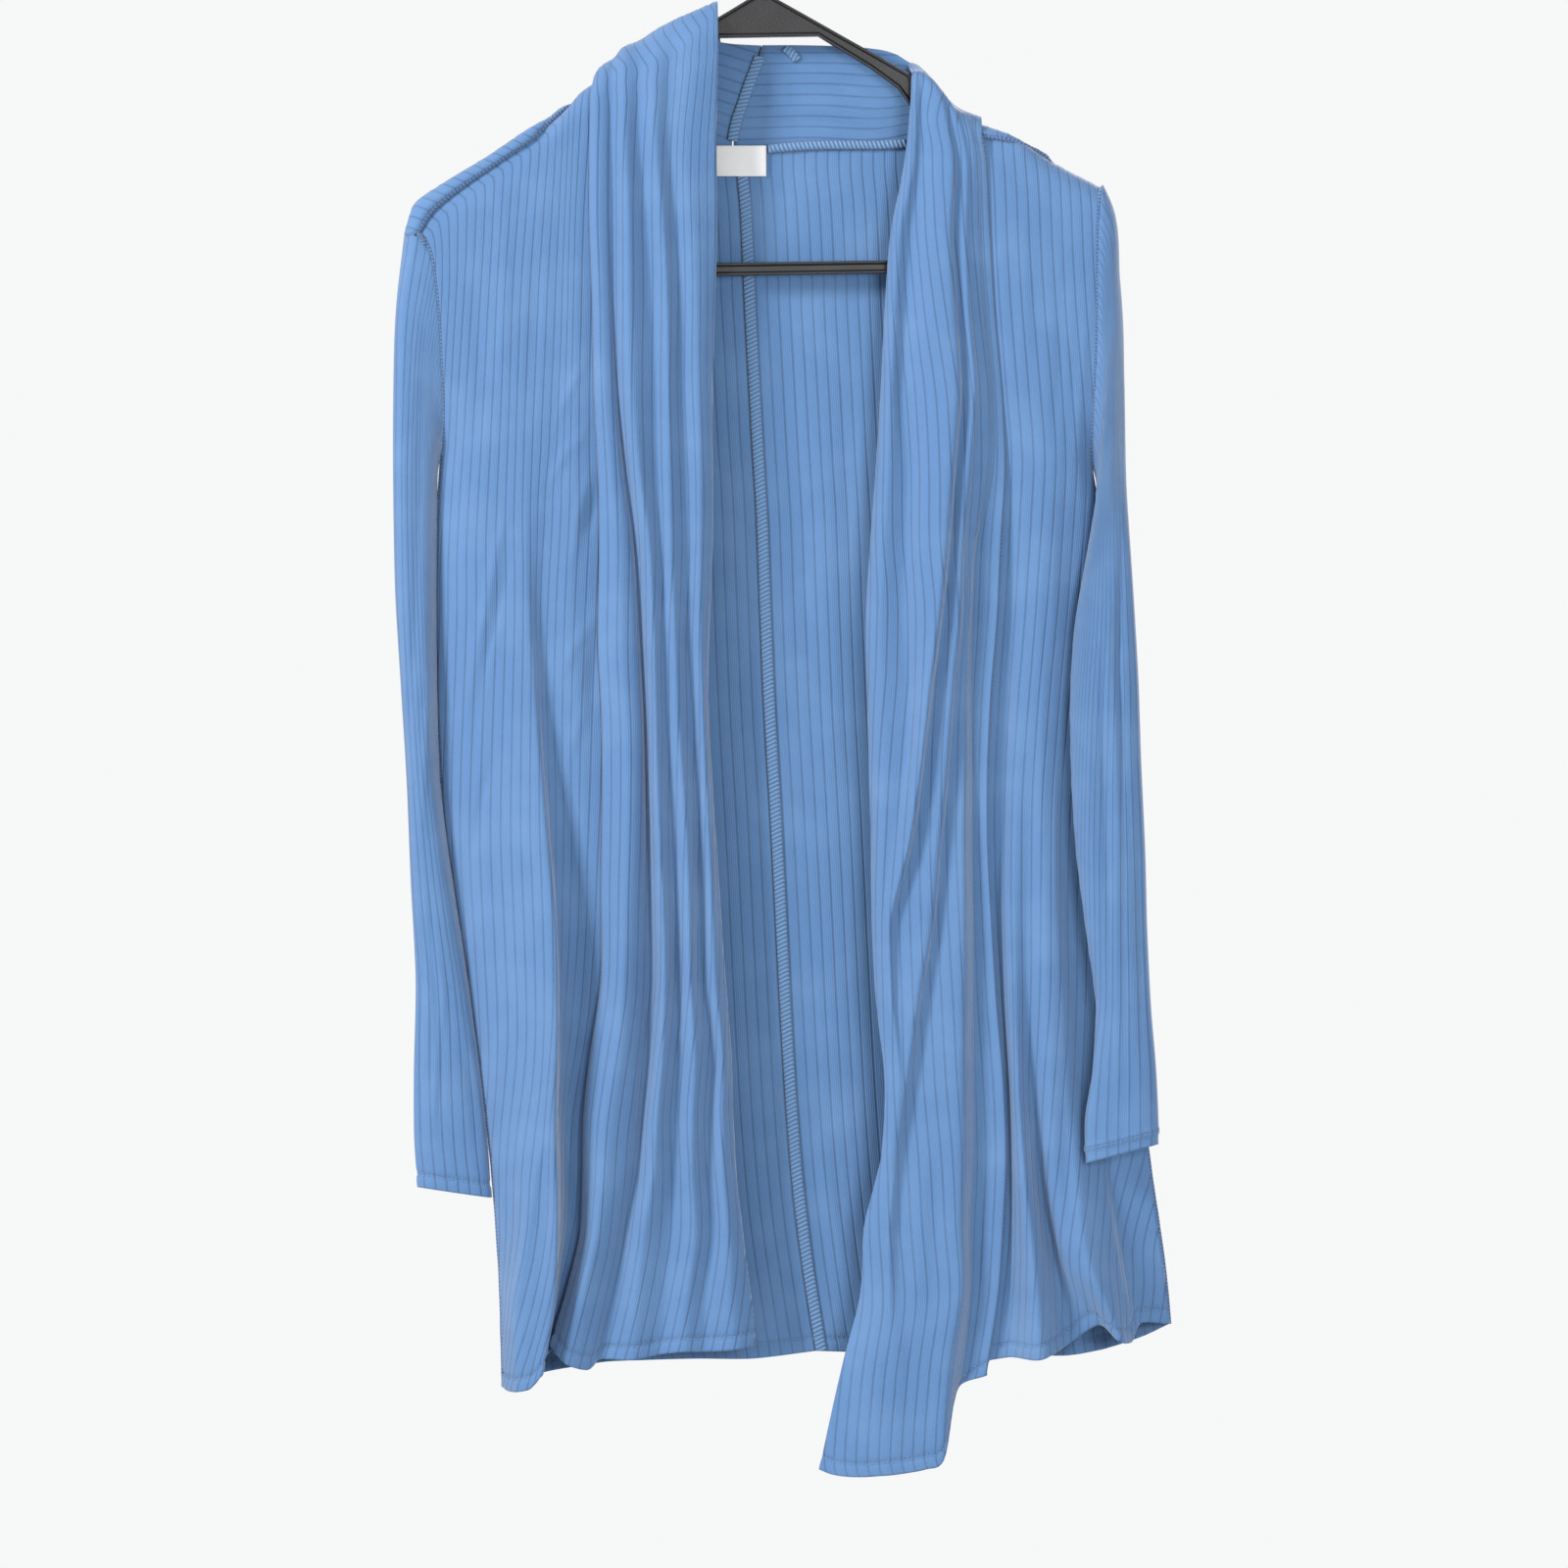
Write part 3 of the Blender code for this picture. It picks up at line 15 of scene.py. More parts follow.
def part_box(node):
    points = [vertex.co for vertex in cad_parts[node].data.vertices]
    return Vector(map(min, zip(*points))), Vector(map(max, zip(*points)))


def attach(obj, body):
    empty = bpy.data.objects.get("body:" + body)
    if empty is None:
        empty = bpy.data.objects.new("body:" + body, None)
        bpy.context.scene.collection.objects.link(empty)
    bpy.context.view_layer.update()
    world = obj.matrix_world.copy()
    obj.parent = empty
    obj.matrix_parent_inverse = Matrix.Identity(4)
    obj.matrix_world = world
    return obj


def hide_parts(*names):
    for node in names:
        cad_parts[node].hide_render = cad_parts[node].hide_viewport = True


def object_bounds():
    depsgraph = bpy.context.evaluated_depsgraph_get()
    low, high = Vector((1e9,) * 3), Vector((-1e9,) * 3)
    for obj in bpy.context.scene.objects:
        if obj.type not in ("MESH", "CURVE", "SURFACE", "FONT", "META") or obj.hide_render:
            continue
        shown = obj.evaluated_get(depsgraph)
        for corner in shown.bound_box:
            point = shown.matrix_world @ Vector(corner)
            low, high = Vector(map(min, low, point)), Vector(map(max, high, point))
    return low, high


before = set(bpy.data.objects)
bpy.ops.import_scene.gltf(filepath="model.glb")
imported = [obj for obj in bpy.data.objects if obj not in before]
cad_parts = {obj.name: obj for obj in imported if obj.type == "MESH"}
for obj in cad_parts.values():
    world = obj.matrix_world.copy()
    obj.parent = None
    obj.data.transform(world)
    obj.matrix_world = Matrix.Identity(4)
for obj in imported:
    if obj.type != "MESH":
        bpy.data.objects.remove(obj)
SOLID_BOX = [list(corner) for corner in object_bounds()]

bl_info = {
    "name": "Draped Cardigan",
    "version": (1, 0, 0),
    "blender": (4, 5, 0),
    "location": "3D View > Sidebar > Cardigan",
    "description": "Builds a ribbed open-front cardigan on a moulded hanger",
    "category": "Add Mesh",
}

# The drafting grid of the solids
STEP = 0.0006
CENTRE_COLUMN = 778
GRID_DROP = 0.0834           # from the hook's bearing point down to row 0
MILLIMETRE = 0.001
EASE = 0.8                   # 1 rounds the folds fully, 0 leaves them flat between lines
VIEW_SIDE = 1600             # columns, and rows, of the grid in the camera's view

# The knit's lines and the hems, in metres
GROOVE_SHARPNESS = 5         # a power: the higher it is, the narrower the grooves
HEM_ROWS = (0.0, 0.0014, 0.0028, 0.0044, 0.006)    # mesh rows below the stitching
ROWS_OVER_HEM = (0.0108, 0.013, 0.016)
STITCH_PULL = 0.0009         # how far round a row of stitches the cloth is pulled in
STITCH_SHADE = 0.0012        # how far round the upper row the colour is darkened with painted shade
HEM_SWELL_END = 0.0016       # the hem's swell is half gone this far below the stitches
HEM_EASE = 0.0012            # the height over which it goes

sheets = {}                  # each sheet's grid: its points, heights over the hem, normals

# The section tables of the solids, with the sleeves and the sides moved together by up to 3
# columns where they hang side by side. Each table has one section a line, from the top edge
# to the hem: the row (or the row of each fold line), then the columns and the depths in
# millimetres of the fold lines.

# Fold lines: side, flank, middle, rise, big fold, its return, recess, inner, band seam
FRONT_RIGHT = (
    ((238, 215, 191, 169, 149, 133, 119.5, 103, 92),
     (427, 441, 470, 502, 530, 551, 569, 591, 612),
     (-6.8, -6.6, -6.6, -6.6, -6.6, -4.6, 1.0, 7.2, 7.4)),
    ((243, 222, 198, 177, 157, 140, 123, 97, 83),
     (434, 448, 475, 503, 530, 551, 570, 591, 611),
     (-8.4, -7.7, -7.6, -7.6, -7.4, -6.4, -3.4, 0.0, 0.0)),
    ((256, 238, 216, 196, 172, 152, 130, 108, 96),
     (441, 456, 480, 504, 529, 550, 570, 590, 609),
     (-9.2, -9.4, -9.4, -9.4, -9.2, -8.8, -8.4, -7.6, -7.8)),
    ((285, 270, 252, 234, 212, 190, 166, 142, 128),
     (446, 464, 485, 506, 528, 549, 570, 589, 608),
     (-9.4, -9.8, -10.0, -10.0, -10.2, -10.4, -10.2, -10.2, -9.2)),
    ((325, 312, 300, 286, 270, 254, 236, 222, 212),
     (450, 468, 488, 508, 528, 549, 570, 588, 606),
     (-9.4, -10.2, -10.8, -11.2, -11.4, -11.8, -11.0, -11.6, -9.2)),
    ((385, 376, 366, 356, 346, 336, 326, 318, 312),
     (453, 470, 490, 511, 530, 550, 570, 588, 608),
     (-8.6, -10.0, -11.4, -12.0, -12.4, -12.4, -11.6, -12.4, -9.2)),
    ((430, 424, 418, 412, 406, 400, 396, 392, 390),
     (454, 470, 491, 513, 532, 551, 569, 588, 610),
     (-5.4, -9.0, -11.4, -12.4, -12.8, -12.6, -12.0, -13.0, -9.2)),
    (458, (452, 470, 492, 514, 534, 551, 567, 588, 613),
     (-1.4, -8.0, -11.6, -12.6, -13.4, -12.8, -12.0, -13.6, -9.2)),
    (500, (449, 469, 492, 514, 535, 549, 562, 587, 616),
     (-1.1, -8.0, -11.8, -12.8, -14.2, -13.0, -12.2, -13.6, -8.6)),
    (600, (446.5, 469, 492, 516, 537, 546, 555, 582, 617),
     (-1.1, -8.6, -12.6, -13.6, -16.0, -13.4, -11.4, -14.0, -8.4)),
    (720, (447.5, 471, 496, 520, 545, 552, 560, 586, 618),
     (-1.1, -9.0, -13.2, -16.0, -18.4, -14.0, -10.6, -13.6, -8.4)),
    (840, (454.5, 477, 502, 530, 556, 562, 577, 597, 620),
     (-1.1, -9.6, -14.0, -19.0, -22.0, -13.6, -7.2, -10.4, -9.2)),
    (940, (469.5, 490, 514, 542, 566, 569, 586, 603, 619),
     (-1.1, -9.8, -15.0, -22.6, -26.0, -13.0, -4.4, -5.8, -9.2)),
    (1040, (484, 502, 524, 549, 569, 571, 586, 601, 613),
     (-1.1, -10.2, -16.6, -25.6, -30.0, -13.0, -2.8, -4.2, -9.2)),
    (1140, (497.5, 515, 535, 556, 567, 570, 579, 590, 600),
     (-1.1, -11.0, -20.4, -27.6, -30.0, -13.0, -2.8, -4.4, -9.2)),
    (1240, (507, 523, 541, 558, 569, 572, 579, 589, 599),
     (-1.1, -13.6, -25.8, -28.4, -31.4, -14.0, -3.0, -4.6, -9.2)),
    (1330, (512, 519, 528, 548, 566, 564, 567, 573, 580),
     (-1.1, -13.6, -25.0, -28.6, -31.0, -14.2, -5.0, -5.4, -9.2)),
    ((1415, 1418, 1418, 1414, 1400, 1391, 1384, 1378, 1374),
     (514, 520, 530, 543, 554, 552, 556, 562, 569),
     (-1.1, -13.0, -24.0, -28.4, -30.4, -15.4, -8.4, -7.4, -9.2)),
)

# Fold lines: band seam, valley, first fold, its foot, second fold's left side, its
# crest, its right side, flank, side
FRONT_LEFT = (
    ((140, 141, 144, 149, 158, 173, 182, 190, 198),
     (1000, 1012, 1028, 1045, 1061, 1076, 1092, 1107, 1121),
     (-7.4, -7.4, -7.4, -6.8, 1.0, 7.2, 7.4, 7.4, 7.4)),
    ((147, 148, 151, 157, 160, 167, 176, 184, 192),
     (1000, 1012, 1028, 1045, 1061, 1075, 1091, 1107, 1122),
     (-8.6, -8.4, -8.4, -8.0, -3.4, 0.0, 0.0, 0.0, 0.0)),
    ((160, 162, 165, 169, 173, 179, 187, 195, 204),
     (1001, 1013, 1029, 1045, 1060, 1074, 1090, 1106, 1120),
     (-9.2, -9.2, -9.2, -9.0, -8.4, -7.6, -7.6, -7.6, -7.8)),
    ((190, 192, 194, 197, 200, 204, 210, 216, 224),
     (1003, 1015, 1030, 1046, 1060, 1074, 1090, 1105, 1119),
     (-9.2, -10.2, -10.4, -10.2, -10.0, -10.0, -9.8, -9.6, -9.4)),
    ((242, 242, 243, 244, 246, 248, 252, 256, 262),
     (1005, 1017, 1032, 1047, 1061, 1075, 1090, 1104, 1118),
     (-9.2, -11.2, -11.6, -11.4, -11.2, -11.0, -10.6, -10.2, -9.4)),
    (310, (1009, 1020, 1034, 1048, 1062, 1076, 1090, 1104, 1118),
     (-9.2, -11.6, -12.0, -12.0, -12.2, -12.0, -11.4, -10.6, -9.4)),
    (360, (1013, 1023, 1036, 1049, 1062, 1076, 1090, 1103, 1117),
     (-9.2, -11.4, -12.0, -12.4, -12.6, -12.4, -11.4, -10.2, -9.0)),
    (410, (1017, 1026, 1038, 1050, 1062, 1076, 1090, 1102, 1115),
     (-9.2, -11.0, -12.2, -12.6, -13.0, -12.6, -11.0, -9.6, -8.0)),
    (446, (1020, 1029, 1040, 1051, 1062, 1075, 1088, 1100, 1113),
     (-9.2, -10.6, -12.2, -12.8, -13.2, -12.8, -10.8, -8.8, -4.6)),
    (466, (1021, 1030, 1041, 1052, 1062, 1074, 1087, 1099, 1112),
     (-9.2, -10.4, -12.2, -12.8, -13.4, -12.8, -10.6, -8.2, -1.4)),
    (520, (1019, 1031, 1042, 1052, 1062, 1073, 1086, 1102, 1120),
     (-9.2, -9.8, -12.2, -13.0, -13.6, -13.0, -10.2, -7.0, -1.1)),
    (620, (1014, 1030, 1043, 1053, 1062, 1073, 1086, 1103, 1124),
     (-9.2, -8.4, -12.6, -13.2, -14.2, -13.4, -9.8, -5.4, -1.1)),
    (720, (1007, 1026, 1040, 1052, 1062, 1073, 1086, 1108, 1134),
     (-9.2, -7.6, -13.2, -13.8, -15.2, -14.0, -9.6, -5.0, -1.1)),
    (820, (1003, 1022, 1036, 1050, 1062, 1073, 1086, 1112, 1141),
     (-9.2, -6.6, -14.2, -14.4, -16.6, -15.2, -9.6, -5.0, -1.1)),
    (920, (1006, 1017, 1033, 1048, 1064, 1076, 1089, 1117, 1149),
     (-9.2, -5.8, -16.0, -14.8, -18.6, -17.4, -9.8, -5.0, -1.1)),
    (1020, (1013, 1021, 1034, 1048, 1067, 1082, 1096, 1123, 1157),
     (-9.2, -6.0, -18.6, -14.0, -19.6, -17.8, -10.0, -5.2, -1.1)),
    (1120, (1020, 1028, 1038, 1052, 1070, 1087, 1106, 1130, 1164),
     (-9.2, -6.4, -22.0, -12.2, -20.4, -18.8, -10.4, -5.6, -1.1)),
    (1200, (1023, 1030, 1044, 1060, 1073, 1096, 1122, 1134, 1174),
     (-9.2, -7.0, -25.0, -11.0, -20.4, -20.4, -11.4, -6.0, -1.1)),
    (1290, (1017, 1030, 1054, 1076, 1090, 1112, 1138, 1148, 1187),
     (-9.2, -8.0, -27.4, -10.4, -23.4, -29.0, -16.8, -8.4, -1.1)),
    ((1388, 1384, 1385, 1370, 1350, 1366, 1368, 1350, 1351),
     (1004, 1030, 1062, 1090, 1122, 1141, 1153, 1162, 1193),
     (-9.2, -9.4, -27.6, -10.8, -15.4, -27.6, -15.6, -9.4, -1.1)),
)

# Fold lines: side, tip, outer shoulder, shoulder, inner shoulder, crossing, behind the
# crossing, neck side, neck point, half neck, centre
BACK_RIGHT_TOP = (
    ((239.5, 217, 192, 168.5, 138, 116, 107.5, 106, 97, 135, 149),
     (425, 438, 468, 503, 547, 566, 577, 591, 612, 680, 751),
     (-9.4, -9.6, -9.6, -9.6, -9.2, 0.0, 5.0, 9.4, 9.8, 11.6, 12.0)),
    ((239.8, 212, 187.5, 164, 131, 116.4, 109, 109, 100, 138, 152),
     (417, 427, 458, 497, 546, 566, 577, 591, 612, 680, 751),
     (-6.5, -7.4, -7.4, -7.4, -7.4, 2.2, 6.4, 9.6, 9.9, 11.6, 12.0)),
    ((240, 210, 186, 162, 128.7, 117.6, 111.5, 112.5, 104, 142, 156),
     (413, 422, 455, 495, 545, 567, 577, 591, 612, 680, 751),
     (0.0, 0.0, 0.0, 0.0, 0.0, 4.4, 7.4, 9.5, 9.8, 11.6, 12.0)),
    ((239.8, 212, 187.5, 164.5, 132, 120.5, 115.5, 116.5, 109, 147, 161),
     (417, 427, 458, 497, 546, 567, 577, 591, 612, 680, 751),
     (6.5, 7.0, 7.0, 7.0, 7.0, 7.0, 8.6, 9.6, 9.9, 11.6, 12.0)),
    ((239.5, 222, 200, 180, 147, 134, 129, 129, 122, 158, 172),
     (425, 438, 468, 505, 549, 568, 578, 591, 612, 680, 751),
     (9.4, 9.4, 9.4, 9.4, 9.4, 9.4, 9.6, 9.7, 10.0, 11.6, 12.0)),
    ((243, 232, 214, 196, 166, 156, 152, 150, 146, 175, 188),
     (434, 446, 474, 508, 549, 568, 579, 591, 612, 680, 752),
     (9.3, 9.6, 9.8, 9.8, 9.8, 9.8, 9.9, 10.0, 10.4, 11.6, 12.0)),
    ((256, 246, 232, 216, 192, 184, 181, 180, 178, 196, 206),
     (441, 452, 478, 510, 549, 569, 580, 591, 613, 680, 754),
     (9.4, 9.8, 10.2, 10.4, 10.6, 10.6, 10.6, 10.8, 11.0, 11.6, 12.0)),
    ((285, 276, 264, 252, 232, 226, 224, 224, 222, 232, 238),
     (446, 457, 482, 512, 549, 570, 581, 592, 614, 681, 756),
     (9.4, 10.2, 10.8, 11.2, 11.4, 11.4, 11.4, 11.4, 11.4, 11.8, 12.0)),
    ((325, 318, 310, 302, 290, 286, 285, 284, 284, 288, 292),
     (450, 461, 485, 513, 549, 571, 582, 593, 616, 684, 758),
     (9.4, 10.4, 11.4, 12.0, 12.2, 12.0, 11.8, 11.8, 12.0, 12.4, 12.0)),
    ((385, 381, 377, 373, 366, 364, 363, 362, 362, 362, 362),
     (453, 465, 488, 515, 549, 572, 583, 595, 618, 688, 762),
     (8.6, 10.2, 11.8, 12.6, 12.8, 12.4, 12.2, 12.2, 12.4, 13.0, 12.2)),
    ((430, 428, 426, 424, 421, 420, 419, 419, 419, 419, 419),
     (454, 466, 489, 515, 549, 573, 584, 596, 620, 690, 765),
     (5.4, 9.0, 11.6, 13.0, 13.2, 12.6, 12.2, 12.4, 12.8, 13.4, 12.2)),
)
BACK_RIGHT_SHARES = (0.0, 0.05, 0.13, 0.22, 0.32, 0.39, 0.45, 0.52, 0.62, 0.8, 1.0)
BACK_LEFT_SHARES = (0.0, 0.07, 0.14, 0.2, 0.27, 0.34, 0.39, 0.44, 0.52, 0.68, 0.84, 1.0)

# Below the armhole the fold lines of the back keep their shares of its width. One level
# a line: its row, its side and centre columns, and the depths of the fold lines.
BACK_RIGHT_LEVELS = (
    (458, 452, 767, (1.4, 7.6, 11.4, 13.2, 13.6, 12.8, 12.4, 12.6, 13.0, 13.6, 12.4)),
    (500, 449, 770, (1.1, 7.6, 11.6, 13.4, 14.0, 13.0, 12.4, 12.8, 13.4, 14.0, 12.4)),
    (600, 446.5, 774, (1.1, 8.2, 12.4, 13.8, 15.0, 13.6, 12.4, 13.2, 14.4, 14.4, 12.4)),
    (720, 447.5, 779, (1.1, 9.0, 13.6, 14.4, 16.4, 14.4, 12.4, 13.8, 16.0, 15.0, 12.4)),
    (840, 454.5, 786, (1.1, 9.8, 15.0, 14.8, 18.2, 15.2, 12.4, 14.6, 18.0, 15.6, 12.4)),
    (940, 469.5, 791, (1.1, 10.4, 16.4, 15.0, 20.0, 15.8, 12.4, 15.6, 20.0, 16.0, 12.6)),
    (1040, 484, 796, (1.1, 11.2, 18.0, 15.2, 21.8, 16.4, 12.4, 16.6, 22.0, 16.4, 13.0)),
    (1140, 497.5, 802, (1.1, 12.0, 19.4, 15.4, 23.6, 17.0, 12.4, 17.6, 24.0, 16.8, 13.6)),
    (1240, 507, 811, (1.1, 12.8, 20.8, 15.6, 25.2, 17.6, 12.4, 18.6, 25.6, 17.2, 14.4)),
    (1330, 512, 824, (1.1, 13.4, 21.8, 15.8, 26.4, 18.0, 12.4, 19.4, 26.8, 17.6, 15.4)),
)
BACK_RIGHT_HEM = (
    (1415, 1410, 1402, 1396, 1392, 1390, 1389, 1389, 1389, 1388, 1380),
    (514, 528, 556, 586, 618, 640, 658, 680, 712, 768, 832),
    (1.1, 13.6, 22.2, 16.0, 27.0, 18.2, 12.6, 19.8, 27.2, 18.0, 16.0))

# Fold lines: centre, quarter neck, half neck, neck side, behind the ridge, ridge, neck
# point, shoulder, crossing, behind the crossing, outer shoulder, side
BACK_LEFT_TOP = (
    ((149, 147, 146.5, 139, 130.5, 123.5, 136, 141.5, 152.5, 159, 169.5, 202),
     (751.8, 815, 880, 945, 978, 990, 999, 1028, 1057, 1069, 1078, 1122),
     (12.0, 12.0, 12.0, 10.8, 9.4, 0.0, -9.6, -9.6, -1.0, 3.6, 9.2, 9.4)),
    ((152, 150, 149.5, 142, 133, 124, 130, 138.5, 153, 160.5, 173, 206),
     (751.8, 815, 880, 945, 979, 990.5, 997.5, 1028, 1058, 1069.5, 1079, 1121.5),
     (12.0, 12.0, 12.0, 10.9, 9.6, 2.0, -7.4, -7.2, 1.5, 5.2, 9.4, 9.4)),
    ((156, 154, 153.5, 146, 136.5, 125.4, 126.6, 136.8, 154.5, 162.8, 178, 211),
     (751.8, 815, 880, 945, 979.5, 991, 997, 1028, 1058, 1070, 1080, 1121),
     (12.0, 12.0, 12.0, 11.0, 9.8, 4.4, 0.0, 0.0, 4.4, 6.9, 9.5, 9.4)),
    ((161, 159, 158.5, 151, 141.5, 130, 130, 139.5, 157.5, 166.5, 184, 217),
     (751.8, 815, 880, 945, 980, 992, 998, 1028, 1059, 1071, 1081, 1120.5),
     (12.0, 12.0, 12.0, 11.1, 10.0, 8.0, 7.0, 7.0, 7.2, 8.8, 9.6, 9.4)),
    ((172, 170, 169, 162, 153, 144, 144, 152, 170, 180, 196, 226),
     (751.8, 815, 880, 945, 981, 993, 1000, 1028, 1060, 1072, 1083, 1119.5),
     (12.0, 12.0, 12.0, 11.3, 10.2, 9.8, 9.6, 9.6, 9.6, 9.8, 9.8, 9.4)),
    ((206, 204, 202, 198, 193, 190, 190, 194, 204, 212, 226, 262),
     (754.8, 815, 880, 944, 981, 993, 1001, 1028, 1060, 1073, 1086, 1118),
     (12.0, 12.2, 12.2, 11.8, 11.0, 10.8, 10.6, 10.6, 10.4, 10.2, 10.0, 9.4)),
    ((258, 256, 254, 250, 246, 244, 244, 246, 252, 260, 272, 310),
     (757.6, 815, 880, 942, 979, 992, 1001, 1028, 1060, 1074, 1088, 1118),
     (12.0, 12.4, 12.4, 12.2, 12.0, 11.8, 11.8, 11.6, 11.2, 10.8, 10.2, 9.4)),
    ((320, 318, 316, 314, 312, 312, 312, 314, 318, 324, 332, 360),
     (760.4, 816, 880, 938, 974, 989, 1000, 1027, 1059, 1073, 1088, 1117),
     (12.0, 12.8, 12.6, 12.6, 12.8, 12.8, 12.6, 12.4, 11.8, 11.2, 10.4, 9.0)),
    ((382, 380, 379, 378, 377, 377, 377, 378, 380, 384, 390, 410),
     (763.8, 818, 880, 936, 970, 986, 998, 1026, 1058, 1072, 1087, 1115),
     (12.2, 13.2, 12.8, 13.0, 13.4, 13.4, 13.2, 13.0, 12.2, 11.2, 9.8, 8.0)),
    ((430, 429, 428, 428, 428, 428, 428, 428, 429, 431, 434, 446),
     (766.4, 820, 880, 934, 967, 983, 996, 1025, 1057, 1071, 1086, 1113),
     (12.2, 13.6, 13.0, 13.2, 13.6, 13.8, 13.6, 13.2, 12.2, 11.0, 9.2, 4.6)),
)

BACK_LEFT_LEVELS = (
    (466, 1112, 768.4, (1.4, 7.6, 11.4, 13.2, 13.6, 12.8, 12.4, 12.5, 12.8, 13.0, 13.6, 12.4)),
    (520, 1120, 771.8, (1.1, 7.6, 11.6, 13.4, 14.0, 13.0, 12.4, 12.8, 13.2, 13.4, 14.0, 12.4)),
    (620, 1124, 775.6, (1.1, 8.2, 12.4, 13.8, 15.0, 13.4, 12.4, 13.2, 14.0, 14.4, 14.2, 12.4)),
    (720, 1134, 779.8, (1.1, 9.0, 13.6, 14.2, 16.4, 14.0, 12.6, 14.0, 15.2, 15.4, 14.4, 12.4)),
    (820, 1141, 785.6, (1.1, 9.8, 15.0, 14.6, 18.0, 14.6, 12.8, 15.0, 16.4, 16.6, 14.6, 12.4)),
    (920, 1149, 790.8, (1.1, 10.6, 16.4, 15.0, 19.6, 15.2, 13.0, 16.0, 17.8, 17.8, 14.8, 12.6)),
    (1020, 1157, 795.8, (1.1, 11.4, 18.0, 15.2, 21.2, 15.8, 13.2, 17.0, 19.4, 19.0, 15.0, 13.0)),
    (1120, 1164, 801.6, (1.1, 12.2, 19.6, 15.4, 22.8, 16.4, 13.4, 18.0, 21.0, 20.2, 15.4, 13.6)),
    (1200, 1174, 807.8, (1.1, 13.0, 20.8, 15.6, 24.2, 16.8, 13.6, 18.8, 22.0, 21.0, 15.8, 14.4)),
    (1290, 1187, 818.6, (1.1, 13.6, 22.0, 15.8, 25.6, 17.2, 13.8, 19.6, 23.0, 21.8, 16.2, 15.4)),
)
BACK_LEFT_HEM = (
    (1380, 1382, 1384, 1386, 1386, 1386, 1386, 1386, 1384, 1378, 1366, 1351),
    (832.8, 898, 962, 994, 1012, 1030, 1050, 1072, 1096, 1130, 1164, 1193),
    (16.0, 18.0, 22.0, 23.0, 19.0, 14.0, 17.4, 26.2, 16.0, 22.4, 14.0, 1.1))

